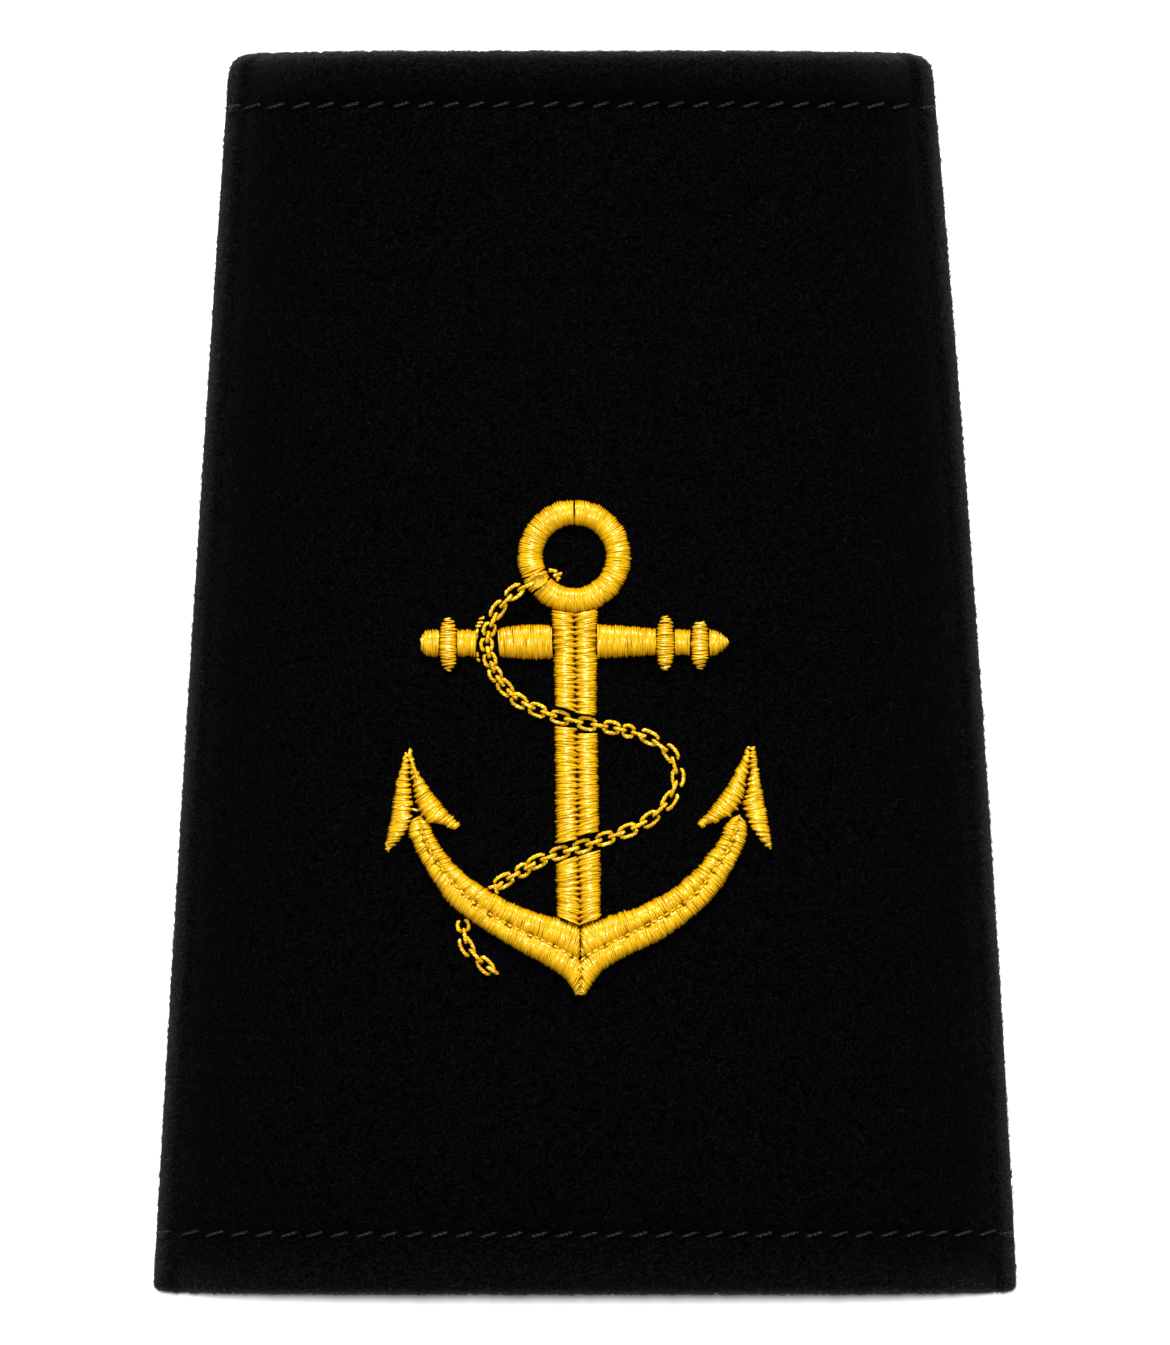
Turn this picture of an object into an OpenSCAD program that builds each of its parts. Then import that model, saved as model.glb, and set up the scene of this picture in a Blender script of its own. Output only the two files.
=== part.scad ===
// Slip-on rank badge for a shoulder strap: a tapered sleeve of black wool cloth,
// with a foul anchor embroidered in gold thread on its front.
// The back lies flat at z = 0, the front faces +Z and the narrow end points to +Y.

/* [Sleeve] */
// Length from the narrow end to the wide end
slide_length = 90; // [80:0.5:100]
// Width across the wide end
wide_width = 62.4; // [58:0.1:70]
// Width across the narrow end
narrow_width = 51.2; // [48:0.1:56]
// Height of the crown above the surface under the sleeve
crown_height = 7.8; // [7.4:0.1:9]
// Thickness of one layer of the wool cloth
cloth_thickness = 1.0; // [0.9:0.05:1.1]
// How far each side bows out between its corners
side_bow = 0.2; // [0:0.05:0.5]
// How far to the left the narrow end was cut
end_shift = 0.34; // [0:0.01:0.6]
// Radius of the corners at the narrow end
narrow_corner = 1.3; // [0.5:0.1:2]
// Radius of the corners at the wide end
wide_corner = 1.0; // [0.5:0.1:2]

/* [Hems and seams] */
// Distance from the narrow end to its hem stitching
narrow_hem = 3.8; // [3:0.1:5]
// Distance from the wide end to its hem stitching
wide_hem = 4.3; // [3:0.1:5]
// How much a back hem's turned layer adds to the cloth
turned_layer = 0.5; // [0.3:0.05:0.6]
// Gap between the front and the back cloth where they are sewn together
seam_gap = 0.08; // [0.05:0.01:0.1]
// Height of the sewn rim above the back cloth
rim_height = 1.95; // [1.7:0.05:2.1]
// How steeply the front rises from the rim, as a power
rise_power = 5; // [4:0.5:6]

/* [Embroidery] */
// Height of the padded satin stitch
satin_height = 0.85; // [0.6:0.05:1]
// Height of the satin stitch in the stock's collars
collar_height = 1.0; // [0.8:0.05:1.2]
// Gap between the embroidery and the cloth
seat_gap = 0.1; // [0.08:0.01:0.12]
// Width of the needle line between two satin columns
needle_gap = 0.14; // [0.12:0.01:0.2]
// Radius of the anchor ring's outer edge
ring_outer = 4.08; // [3.9:0.01:4.1]
// Radius of the hole in the anchor ring
ring_inner = 2.28; // [2.2:0.01:2.4]
// Width of a chain link
link_width = 0.93; // [0.85:0.01:0.95]
// Thickness of the thread that a chain link is drawn with
link_wire = 0.3; // [0.25:0.01:0.32]
// Thickness of a link seen on its edge
edge_wire = 0.36; // [0.3:0.01:0.4]

/* [Hidden] */

cloth_black = "#131315";
back_black = "#19191b";
thread_gold = "#e8b820";
chain_gold = "#f0c22c";

// Height at which the front cloth lies on the back cloth
front_base = cloth_thickness + seam_gap;
// Lift of the padding under the anchor ring, on which one chain link lies
on_ring = satin_height + seat_gap;

// Front cloth near an end. Columns: distance from the end as a share of the hem,
// lift of the outer face, thickness of the turned and stitched cloth
HEM_ROWS = [
    [0.00, -0.64, 0.30],
    [0.06, -0.30, 0.95],
    [0.18, -0.04, 1.42],
    [0.42, 0.12, 1.56],
    [0.75, 0.06, 1.52],
    [0.94, -0.26, 1.30],
    [1.00, -0.42, 1.20],
    [1.06, -0.26, 1.30],
    [1.24, 0.00, 1.50],
    [1.52, 0.02, 1.50],
    [1.58, 0.00, 1.00]
];

// Sewn rim of the front cloth. Columns: inset of the outer face from the side,
// its height as a share of the rim, inset of the underside
RIM_ROWS = [
    [0.46, 0.05, 0.80],
    [0.06, 0.30, 1.10],
    [0.04, 0.62, 1.40],
    [0.42, 0.95, 1.70],
    [0.92, 0.98, 2.00],
    [1.35, 0.76, 2.30],
    [1.78, 1.00, 2.60]
];

// Places across the front cloth, from the sewn rim to the middle
CLOTH_SHARES = [0.05, 0.12, 0.21, 0.33, 0.48, 0.70];
// Places along the plain cloth between the two hems
MIDDLE_SHARES = [0.12, 0.3, 0.5, 0.7, 0.88];

// Section of a satin column. Columns: share of the width, share of the height
SATIN_SECTION = [[0, 0], [0, 0.38], [0.15, 0.8], [0.5, 1], [0.85, 0.8], [1, 0.38], [1, 0]];

// Satin columns. Each row is one stitch: the x and y of its first end on the
// column's one edge, then the x and y of its second end on the other edge
SHANK_TOP_LEFT = [[-2.42, 4.50, -0.78, 4.14], [-2.20, 0.00, -0.68, 0.00], [-2.15, -2.42, -0.64, -2.82]];
SHANK_TOP_RIGHT = [[-0.78, 4.14, 0.88, 4.50], [-0.68, 0.00, 0.84, 0.00], [-0.64, -2.92, 0.84, -3.06]];
SHANK_MIDDLE_LEFT = [[-2.16, -3.88, -0.64, -4.10], [-2.10, -8.00, -0.56, -8.00], [-2.08, -12.38, -0.50, -11.98]];
SHANK_MIDDLE_RIGHT = [[-0.64, -4.42, 0.88, -4.46], [-0.56, -8.00, 0.94, -8.00], [-0.50, -11.84, 1.00, -11.46]];
SHANK_FOOT_LEFT = [[-2.06, -13.88, -0.48, -13.30], [-2.03, -16.00, -0.42, -16.20], [-2.03, -17.55, -0.37, -18.22]];
SHANK_FOOT_RIGHT = [[-0.48, -13.36, 1.10, -12.90], [-0.42, -16.20, 1.09, -16.00], [-0.37, -18.22, 1.09, -17.62]];

STOCK_LEFT_TIP = [[-11.90, 1.75, -11.90, 2.45], [-11.62, 1.35, -11.62, 2.86],
    [-11.20, 1.18, -11.20, 3.06], [-10.62, 1.18, -10.62, 3.06]];
STOCK_LEFT_COLLAR = [[-10.08, 3.96, -9.72, 3.96], [-10.36, 3.55, -9.40, 3.55],
    [-10.50, 2.90, -9.32, 2.90], [-10.50, 1.20, -9.32, 1.20],
    [-10.36, 0.55, -9.40, 0.55], [-10.05, 0.12, -9.72, 0.12]];
STOCK_LEFT_NECK = [[-9.20, 1.18, -9.20, 3.08], [-7.95, 1.20, -7.95, 3.04]];
STOCK_LEFT_BAR = [[-6.15, 1.15, -6.28, 3.10], [-5.80, 1.10, -5.90, 3.20], [-2.40, 1.06, -2.50, 3.32]];
STOCK_RIGHT_BAR = [[0.98, 1.05, 1.00, 3.45], [3.00, 1.15, 3.00, 3.34], [5.06, 1.28, 5.06, 3.16]];
STOCK_RIGHT_INNER_COLLAR = [[5.60, 4.10, 6.02, 4.10], [5.34, 3.62, 6.28, 3.62],
    [5.18, 3.00, 6.42, 3.00], [5.18, 1.30, 6.42, 1.30],
    [5.34, 0.62, 6.28, 0.62], [5.62, 0.20, 6.00, 0.20]];
STOCK_RIGHT_NECK = [[6.54, 1.25, 6.54, 3.12], [7.58, 1.28, 7.58, 3.08]];
STOCK_RIGHT_OUTER_COLLAR = [[8.00, 3.70, 8.62, 3.70], [7.80, 3.30, 8.84, 3.30],
    [7.72, 2.80, 8.92, 2.80], [7.72, 1.30, 8.92, 1.30],
    [7.86, 0.62, 8.76, 0.62], [8.14, 0.24, 8.56, 0.24]];
STOCK_RIGHT_TIP = [[9.04, 1.20, 9.04, 3.05], [9.60, 1.36, 9.60, 2.96],
    [10.05, 1.70, 10.05, 2.64], [10.38, 2.02, 10.38, 2.30]];

ARM_LEFT_UPPER = [[-12.03, -10.45, -11.82, -10.50], [-11.95, -11.05, -11.30, -11.00],
    [-11.65, -12.00, -10.95, -11.85], [-11.25, -12.85, -10.45, -12.65],
    [-10.70, -13.75, -9.85, -13.45], [-10.00, -14.70, -9.10, -14.25],
    [-9.15, -15.65, -8.25, -14.95], [-8.15, -16.55, -7.35, -15.55],
    [-7.00, -17.40, -6.30, -16.15], [-5.70, -18.15, -5.10, -16.80],
    [-4.30, -18.85, -3.75, -17.35], [-3.00, -19.40, -2.55, -17.68],
    [-1.95, -19.92, -1.40, -18.00], [-1.20, -20.35, -0.42, -18.55],
    [-0.80, -20.60, -0.42, -19.60], [-0.55, -20.78, -0.42, -20.50]];
ARM_LEFT_LOWER = [[-12.45, -10.70, -12.03, -10.45], [-12.70, -11.35, -11.95, -11.05],
    [-12.40, -12.40, -11.65, -12.00], [-11.95, -13.40, -11.25, -12.85],
    [-11.35, -14.45, -10.70, -13.75], [-10.65, -15.55, -10.00, -14.70],
    [-9.80, -16.70, -9.15, -15.65], [-8.80, -17.55, -8.15, -16.55],
    [-7.55, -18.40, -7.00, -17.40], [-6.15, -19.30, -5.70, -18.15],
    [-4.80, -20.10, -4.30, -18.85], [-3.55, -20.80, -3.00, -19.40],
    [-2.50, -21.40, -1.95, -19.92], [-1.80, -21.86, -1.20, -20.35],
    [-1.30, -22.32, -0.42, -20.95], [-0.95, -22.80, -0.42, -21.95],
    [-0.62, -23.35, -0.42, -23.00]];
ARM_RIGHT_UPPER = [[10.75, -10.55, 11.15, -10.35], [10.25, -10.95, 11.02, -11.00],
    [9.95, -11.75, 10.75, -11.95], [9.40, -12.60, 10.30, -12.95],
    [8.75, -13.40, 9.65, -13.85], [8.00, -14.30, 8.95, -14.90],
    [7.20, -15.00, 8.15, -15.85], [6.20, -15.80, 7.00, -16.80],
    [5.00, -16.42, 5.65, -17.65], [3.60, -17.10, 4.20, -18.42],
    [2.30, -17.50, 2.85, -19.08], [1.20, -17.86, 1.70, -19.65],
    [-0.26, -18.50, 0.80, -20.10], [-0.26, -19.50, 0.20, -20.42],
    [-0.26, -20.40, -0.10, -20.60]];
ARM_RIGHT_LOWER = [[11.15, -10.35, 11.60, -10.85], [11.02, -11.00, 11.70, -11.40],
    [10.75, -11.95, 11.52, -12.35], [10.30, -12.95, 11.05, -13.40],
    [9.65, -13.85, 10.45, -14.55], [8.95, -14.90, 9.75, -15.65],
    [8.15, -15.85, 8.85, -16.70], [7.00, -16.80, 7.60, -17.80],
    [5.65, -17.65, 6.15, -18.90], [4.20, -18.42, 4.65, -19.75],
    [2.85, -19.08, 3.20, -20.40], [1.70, -19.65, 2.00, -21.05],
    [0.80, -20.10, 1.20, -21.60], [-0.26, -20.95, 0.72, -22.20],
    [-0.26, -21.90, 0.35, -22.75], [-0.26, -23.05, 0.00, -23.35]];

FLUKE_LEFT_OUTER = [[-13.06, -5.85, -12.82, -5.80], [-13.30, -6.85, -12.78, -6.80],
    [-13.56, -7.80, -12.72, -7.75], [-13.75, -8.85, -12.64, -8.80],
    [-13.92, -9.85, -12.52, -9.75], [-14.10, -10.85, -12.64, -10.65],
    [-14.22, -11.55, -13.00, -11.45], [-14.35, -12.20, -13.50, -12.15],
    [-14.42, -12.85, -14.05, -12.80]];
FLUKE_LEFT_INNER = [[-12.72, -5.68, -12.60, -5.60], [-12.60, -7.00, -12.28, -6.80],
    [-12.50, -7.80, -11.92, -7.45], [-12.34, -8.55, -11.52, -8.10],
    [-12.14, -9.35, -11.08, -8.72], [-11.74, -10.16, -10.60, -9.30],
    [-11.12, -10.70, -10.10, -9.92], [-10.30, -11.04, -9.55, -10.52],
    [-9.36, -11.30, -9.06, -11.02]];
FLUKE_RIGHT_INNER = [[11.74, -5.40, 11.88, -5.46], [11.42, -6.25, 11.86, -6.50],
    [11.06, -6.95, 11.74, -7.45], [10.64, -7.72, 11.54, -8.40],
    [10.15, -8.48, 11.30, -9.28], [9.65, -9.20, 10.90, -10.06],
    [9.15, -9.85, 10.20, -10.50], [8.60, -10.45, 9.30, -10.88],
    [8.10, -10.95, 8.45, -11.18]];
FLUKE_RIGHT_OUTER = [[12.02, -5.42, 12.22, -5.40], [12.00, -6.40, 12.40, -6.40],
    [11.90, -7.50, 12.58, -7.40], [11.74, -8.55, 12.78, -8.40],
    [11.50, -9.55, 12.98, -9.40], [11.72, -10.40, 13.15, -10.40],
    [12.05, -11.10, 13.28, -11.25], [12.68, -12.00, 13.40, -12.00],
    [13.15, -12.60, 13.48, -12.60]];

// Chain links that lie flat, from the anchor ring down to the left arm.
// Columns: x, y, length, lift above the cloth
UPPER_LINKS = [
    [-2.10, 7.30, 0.90, 0], [-3.43, 6.64, 1.30, on_ring], [-5.12, 5.81, 1.40, 0],
    [-6.30, 4.52, 1.45, 0], [-6.93, 3.12, 1.00, 0], [-7.12, 2.02, 0.95, 0],
    [-6.88, 0.92, 1.00, 0], [-6.50, -0.12, 1.00, 0], [-5.78, -1.10, 1.30, 0],
    [-4.78, -2.05, 1.25, 0], [-3.44, -2.72, 1.30, 0], [-1.79, -3.26, 1.45, 0],
    [0.16, -3.70, 1.40, 0], [1.92, -3.98, 1.25, 0], [3.14, -4.24, 0.90, 0],
    [4.64, -4.70, 1.45, 0], [6.20, -5.86, 1.40, 0], [6.73, -7.58, 1.35, 0],
    [6.12, -9.25, 1.45, 0], [4.70, -10.62, 1.45, 0], [3.11, -11.45, 1.40, 0],
    [1.46, -12.02, 1.35, 0], [-0.18, -12.58, 1.35, 0], [-1.82, -13.06, 1.40, 0],
    [-3.46, -13.68, 1.40, 0], [-4.50, -14.32, 1.00, 0], [-5.88, -15.08, 1.45, 0]
];
// Chain links that lie flat below the left arm, with the same columns
LOWER_LINKS = [
    [-8.82, -18.32, 0.90, 0], [-8.56, -19.82, 1.50, 0], [-7.20, -21.22, 1.45, 0]
];
// Free ends of the chain
upper_end = [-6.50, -15.66];
lower_end = [-6.32, -21.78];
link_corners = 12;
link_sides = 5;
edge_sides = 6;
// Part of the way between two flat links that the link on its edge takes up
edge_share = 0.72;
// Gap that keeps one chain link clear of the next
link_gap = 0.1;

function blend(a, b, share) = a + (b - a) * share;
function power(base, exponent) = pow(max(base, 0), exponent);

// Share of the way from the narrow end to the wide end
function along(y) = (slide_length / 2 - y) / slide_length;
function middle_x(y) = -end_shift * (1 - along(y));
function straight_half(y) = blend(narrow_width, wide_width, along(y)) / 2
    + 4 * side_bow * along(y) * (1 - along(y));
function corner_cut(distance, radius) =
    distance >= radius ? 0 : radius - sqrt(pow(radius, 2) - pow(radius - distance, 2));
function half_width(y) = straight_half(y)
    - corner_cut(slide_length / 2 - y, narrow_corner)
    - corner_cut(slide_length / 2 + y, wide_corner);

// Height of the front cloth's outer face, from the rim (share 0) to the middle (share 1)
seam_inset = RIM_ROWS[len(RIM_ROWS) - 1][0];
function rise(share) = 1 - power(1 - share, rise_power);
function face_height(share, lift) =
    blend(front_base + rim_height, crown_height + lift, rise(share));
function cloth_z(x, y) = face_height(
    (half_width(y) - abs(x - middle_x(y)) - seam_inset) / (half_width(y) - seam_inset), 0);

// Least share of its height that the rim keeps where a hem is drawn down
least_rim = 0.75;
function rim_lift(lift) = max(least_rim, 1 + lift / rim_height / 2);
// One section across the front cloth at y: outer face from left to right, then back inside
function outer_point(side, y, row, lift) =
    [middle_x(y) + side * (half_width(y) - row[0]), y,
     front_base + rim_height * row[1] * rim_lift(lift)];
function under_point(side, y, row) =
    [middle_x(y) + side * (half_width(y) - row[2]), y, front_base];
function face_point(side, y, share, lift) =
    [middle_x(y) + side * (half_width(y) - seam_inset) * (1 - share), y, face_height(share, lift)];
function slope(y, share) = rise_power * power(1 - share, rise_power - 1)
    * (crown_height - front_base - rim_height) / (half_width(y) - seam_inset);
// Where the face is steep, its underside lies further in and further down
steep_inset = 0.3;
steep_drop = 0.4;
function lining_point(side, y, share, lift, thickness) =
    face_point(side, y, share, lift)
    - [side * thickness * steep_inset * min(1, slope(y, share)), 0,
       thickness * sqrt(1 + steep_drop * pow(slope(y, share), 2))];
function backwards(list) = [for (i = [len(list) - 1:-1:0]) list[i]];
function front_section(y, lift, thickness) = concat(
    [for (row = RIM_ROWS) outer_point(-1, y, row, lift)],
    [for (share = CLOTH_SHARES) face_point(-1, y, share, lift)],
    [face_point(1, y, 1, lift)],
    [for (share = backwards(CLOTH_SHARES)) face_point(1, y, share, lift)],
    [for (row = backwards(RIM_ROWS)) outer_point(1, y, row, lift)],
    [for (row = RIM_ROWS) under_point(1, y, row)],
    [for (share = CLOTH_SHARES) lining_point(1, y, share, lift, thickness)],
    [lining_point(1, y, 1, lift, thickness)],
    [for (share = backwards(CLOTH_SHARES)) lining_point(-1, y, share, lift, thickness)],
    [for (row = backwards(RIM_ROWS)) under_point(-1, y, row)]);

narrow_plain = slide_length / 2 - narrow_hem * HEM_ROWS[len(HEM_ROWS) - 1][0];
wide_plain = -slide_length / 2 + wide_hem * HEM_ROWS[len(HEM_ROWS) - 1][0];
front_sections = concat(
    [for (row = HEM_ROWS) front_section(slide_length / 2 - narrow_hem * row[0], row[1], row[2])],
    [for (share = MIDDLE_SHARES)
        front_section(blend(narrow_plain, wide_plain, share), 0, cloth_thickness)],
    [for (row = backwards(HEM_ROWS)) front_section(-slide_length / 2 + wide_hem * row[0], row[1], row[2])]);

function joined(lists) = [for (list = lists) for (item = list) item];
function turned(faces, flip) = flip ? [for (face = faces) backwards(face)] : faces;
// Triangles between neighbouring rings of n points
function side_faces(rings, n) = [for (i = [0:rings - 2], j = [0:n - 1], half = [0, 1])
    let (a = i * n + j, b = i * n + (j + 1) % n)
    half == 0 ? [a, b, b + n] : [a, b + n, a + n]];
// Strip that closes an open section whose second half runs back beside its first
function strip_cap(first, n) = [for (j = [0:n / 2 - 2])
    [first + j, first + n - 1 - j, first + n - 2 - j, first + j + 1]];
function ring_cap(first, n) = [for (j = [n - 1:-1:0]) first + j];

module sections_solid(sections, flip) {
    rings = len(sections);
    n = len(sections[0]);
    caps = [ring_cap(0, n), backwards(ring_cap((rings - 1) * n, n))];
    polyhedron(joined(sections), turned(concat(side_faces(rings, n), caps), flip));
}

module front_panel() {
    n = len(front_sections[0]);
    last = (len(front_sections) - 1) * n;
    caps = concat(strip_cap(0, n), turned(strip_cap(last, n), true));
    color(cloth_black)
        polyhedron(joined(front_sections), concat(side_faces(len(front_sections), n), caps));
}

// Outline of the back cloth, drawn in by a margin at the sides and by others at the ends
outline_shares = [0, 0.004, 0.01, 0.016, 0.12, 0.25, 0.38, 0.5, 0.62, 0.75, 0.88, 0.989, 0.995, 1];
function outline_y(share) = slide_length * (0.5 - share);
function outline_side(side) = [for (share = outline_shares)
    [middle_x(outline_y(share)) + side * half_width(outline_y(share)), outline_y(share)]];
back_outline = concat(outline_side(1), backwards(outline_side(-1)));
// Inset of the back hems from the sides, clear of the sewn rims, and from the ends
hem_clearance = 0.9;
hem_inset = RIM_ROWS[len(RIM_ROWS) - 1][2] + hem_clearance;
hem_edge = 0.25;
function hem_corner(side, y) = [middle_x(y) + side * (straight_half(y) - hem_inset), y];

module back_hem(outer_y, inner_y) {
    linear_extrude(cloth_thickness + turned_layer)
        polygon([hem_corner(-1, outer_y), hem_corner(-1, inner_y),
            hem_corner(1, inner_y), hem_corner(1, outer_y)]);
}

module back_panel() {
    color(back_black)
        union() {
            linear_extrude(cloth_thickness) polygon(back_outline);
            back_hem(slide_length / 2 - hem_edge, narrow_plain);
            back_hem(wide_plain, -slide_length / 2 + hem_edge);
        }
}

ring_x = -0.77;
ring_y = 8.39;
module anchor_ring() {
    color(thread_gold)
        translate([ring_x, ring_y, cloth_z(ring_x, ring_y) + seat_gap])
            rotate_extrude($fn = 48)
                polygon([for (point = SATIN_SECTION)
                    [blend(ring_inner, ring_outer, point[0]), satin_height * point[1]]]);
}

// A satin column stitched across from one edge to the other. A row narrower than
// the full width is lower, down to the least share of the height, and the two
// trims draw a column back from the needle line that it shares
full_width = 1.12;
least_height = 0.3;
function row_width(row) = norm([row[2] - row[0], row[3] - row[1]]);
function row_point(row, share) = [blend(row[0], row[2], share), blend(row[1], row[3], share)];
function satin_point(row, point, height, first_trim, second_trim) =
    let (start = first_trim / row_width(row),
         finish = 1 - second_trim / row_width(row),
         spot = row_point(row, blend(start, finish, point[0])),
         tall = height * min(1, least_height + (1 - least_height) * row_width(row) / full_width))
    [spot[0], spot[1], cloth_z(spot[0], spot[1]) + seat_gap + tall * point[1]];
function runs_clockwise(rows) =
    cross([rows[0][2] - rows[0][0], rows[0][3] - rows[0][1]],
          row_point(rows[1], 0.5) - row_point(rows[0], 0.5)) > 0;

module satin(rows, height = satin_height, first_trim = 0, second_trim = 0) {
    color(thread_gold)
        sections_solid([for (row = rows) [for (point = SATIN_SECTION)
            satin_point(row, point, height, first_trim, second_trim)]], runs_clockwise(rows));
}

half_needle = needle_gap / 2;
module shank_top_left() { satin(SHANK_TOP_LEFT, second_trim = half_needle); }
module shank_top_right() { satin(SHANK_TOP_RIGHT, first_trim = half_needle); }
module shank_middle_left() { satin(SHANK_MIDDLE_LEFT, second_trim = half_needle); }
module shank_middle_right() { satin(SHANK_MIDDLE_RIGHT, first_trim = half_needle); }
module shank_foot_left() { satin(SHANK_FOOT_LEFT, second_trim = half_needle); }
module shank_foot_right() { satin(SHANK_FOOT_RIGHT, first_trim = half_needle); }
module stock_left_tip() { satin(STOCK_LEFT_TIP); }
module stock_left_collar() { satin(STOCK_LEFT_COLLAR, collar_height); }
module stock_left_neck() { satin(STOCK_LEFT_NECK); }
module stock_left_bar() { satin(STOCK_LEFT_BAR); }
module stock_right_bar() { satin(STOCK_RIGHT_BAR); }
module stock_right_inner_collar() { satin(STOCK_RIGHT_INNER_COLLAR, collar_height); }
module stock_right_neck() { satin(STOCK_RIGHT_NECK); }
module stock_right_outer_collar() { satin(STOCK_RIGHT_OUTER_COLLAR, collar_height); }
module stock_right_tip() { satin(STOCK_RIGHT_TIP); }
module arm_left_upper() { satin(ARM_LEFT_UPPER, first_trim = half_needle); }
module arm_left_lower() { satin(ARM_LEFT_LOWER, second_trim = half_needle); }
module arm_right_upper() { satin(ARM_RIGHT_UPPER, second_trim = half_needle); }
module arm_right_lower() { satin(ARM_RIGHT_LOWER, first_trim = half_needle); }
module fluke_left_outer() { satin(FLUKE_LEFT_OUTER); }
module fluke_left_inner() { satin(FLUKE_LEFT_INNER); }
module fluke_right_inner() { satin(FLUKE_RIGHT_INNER); }
module fluke_right_outer() { satin(FLUKE_RIGHT_OUTER); }

// A flat link: an oval of thread, turned to the way that the chain runs
function flat_link_ring(link, way, step) =
    let (turn = 360 * step / link_corners,
         reach = [(link[2] - link_wire) / 2, (link_width - link_wire) / 2],
         local = [reach[0] * cos(turn), reach[1] * sin(turn)],
         out_way = [local[0] / pow(reach[0], 2), local[1] / pow(reach[1], 2)],
         out = out_way / norm(out_way))
    [for (side = [0:link_sides - 1])
        let (angle = 360 * (side + 0.5) / link_sides,
             flat = local + out * link_wire / 2 * cos(angle),
             x = link[0] + way[0] * flat[0] - way[1] * flat[1],
             y = link[1] + way[1] * flat[0] + way[0] * flat[1])
        [x, y, cloth_z(link[0], link[1]) + seat_gap + link[3] + link_wire / 2 * (1 + sin(angle))]];
function ring_faces(rings, n) = [for (i = [0:rings - 1], j = [0:n - 1], half = [0, 1])
    let (next = ((i + 1) % rings) * n, a = i * n + j, b = i * n + (j + 1) % n)
    half == 0 ? [a, b, next + (j + 1) % n] : [a, next + (j + 1) % n, next + j]];
module flat_link(link, way) {
    rings = [for (step = [0:link_corners - 1]) flat_link_ring(link, way, step)];
    polyhedron(joined(rings), ring_faces(link_corners, link_sides));
}

// A link on its edge: a rod of thread with rounded ends, laid over the flat links' ends.
// Columns: share of the way along it, share of its thickness
EDGE_ROWS = [[0, 0.55], [0.14, 1], [0.5, 1], [0.86, 1], [1, 0.55]];
// Halfway between two flat links it is at the level of the higher one
function edge_spot(from, to, share) =
    let (flat = blend(from, to, share),
         top = max(from[2], to[2]),
         z = share < 0.5 ? blend(from[2], top, 2 * share) : blend(top, to[2], 2 * share - 1))
    [flat[0], flat[1], z];
module edge_link(from, to, first_share, last_share) {
    run = [to[0] - from[0], to[1] - from[1]];
    across = [run[1], -run[0], 0] / norm(run);
    sections_solid([for (row = EDGE_ROWS) [for (side = [0:edge_sides - 1])
        let (angle = 360 * side / edge_sides)
        edge_spot(from, to, blend(first_share, last_share, row[0]))
            + (across * cos(angle) + [0, 0, sin(angle)]) * edge_wire / 2 * row[1]]], false);
}
function edge_height(lift) = seat_gap + lift + link_wire + link_gap + edge_wire / 2;
function link_spot(link) = [link[0], link[1], cloth_z(link[0], link[1]) + edge_height(link[3])];
function free_spot(point) = [point[0], point[1], cloth_z(point[0], point[1]) + edge_height(0)];

module chain_run(links, free_end) {
    last = len(links) - 1;
    for (i = [0:last]) {
        step = [for (k = [0, 1]) links[min(i + 1, last)][k] - links[max(i - 1, 0)][k]];
        flat_link(links[i], step / norm(step));
    }
    for (i = [0:last - 1]) {
        edge_link(link_spot(links[i]), link_spot(links[i + 1]), (1 - edge_share) / 2, (1 + edge_share) / 2);
    }
    edge_link(link_spot(links[last]), free_spot(free_end), 1 - edge_share, 1);
}

module anchor_chain() {
    color(chain_gold) {
        chain_run(UPPER_LINKS, upper_end);
        chain_run(LOWER_LINKS, lower_end);
    }
}

front_panel();
back_panel();
anchor_ring();
shank_top_left();
shank_top_right();
shank_middle_left();
shank_middle_right();
shank_foot_left();
shank_foot_right();
stock_left_tip();
stock_left_collar();
stock_left_neck();
stock_left_bar();
stock_right_bar();
stock_right_inner_collar();
stock_right_neck();
stock_right_outer_collar();
stock_right_tip();
arm_left_upper();
arm_left_lower();
arm_right_upper();
arm_right_lower();
fluke_left_outer();
fluke_left_inner();
fluke_right_inner();
fluke_right_outer();
anchor_chain();
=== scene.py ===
# %% [markdown]
# # A rank badge of black wool with an anchor stitched in gold
#
# The badge is a tapered cloth sleeve that slides over a shoulder strap. Its front and back
# are cut from melton, a thick wool cloth that is fulled until its weave disappears under a
# short nap. Both ends are hemmed, both sides are sewn together, and a foul anchor, which is
# an anchor with its chain wound round it, is embroidered on the front.
#
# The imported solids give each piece's place and size. This lesson makes what a tailor and an
# embroidery machine add: soft hems, sewn seams, and some two thousand gold stitches that
# are each a thread of their own.

import math

import bmesh
import bpy
import numpy as np
from mathutils import Matrix, Vector, noise
from mathutils.bvhtree import BVHTree


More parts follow.
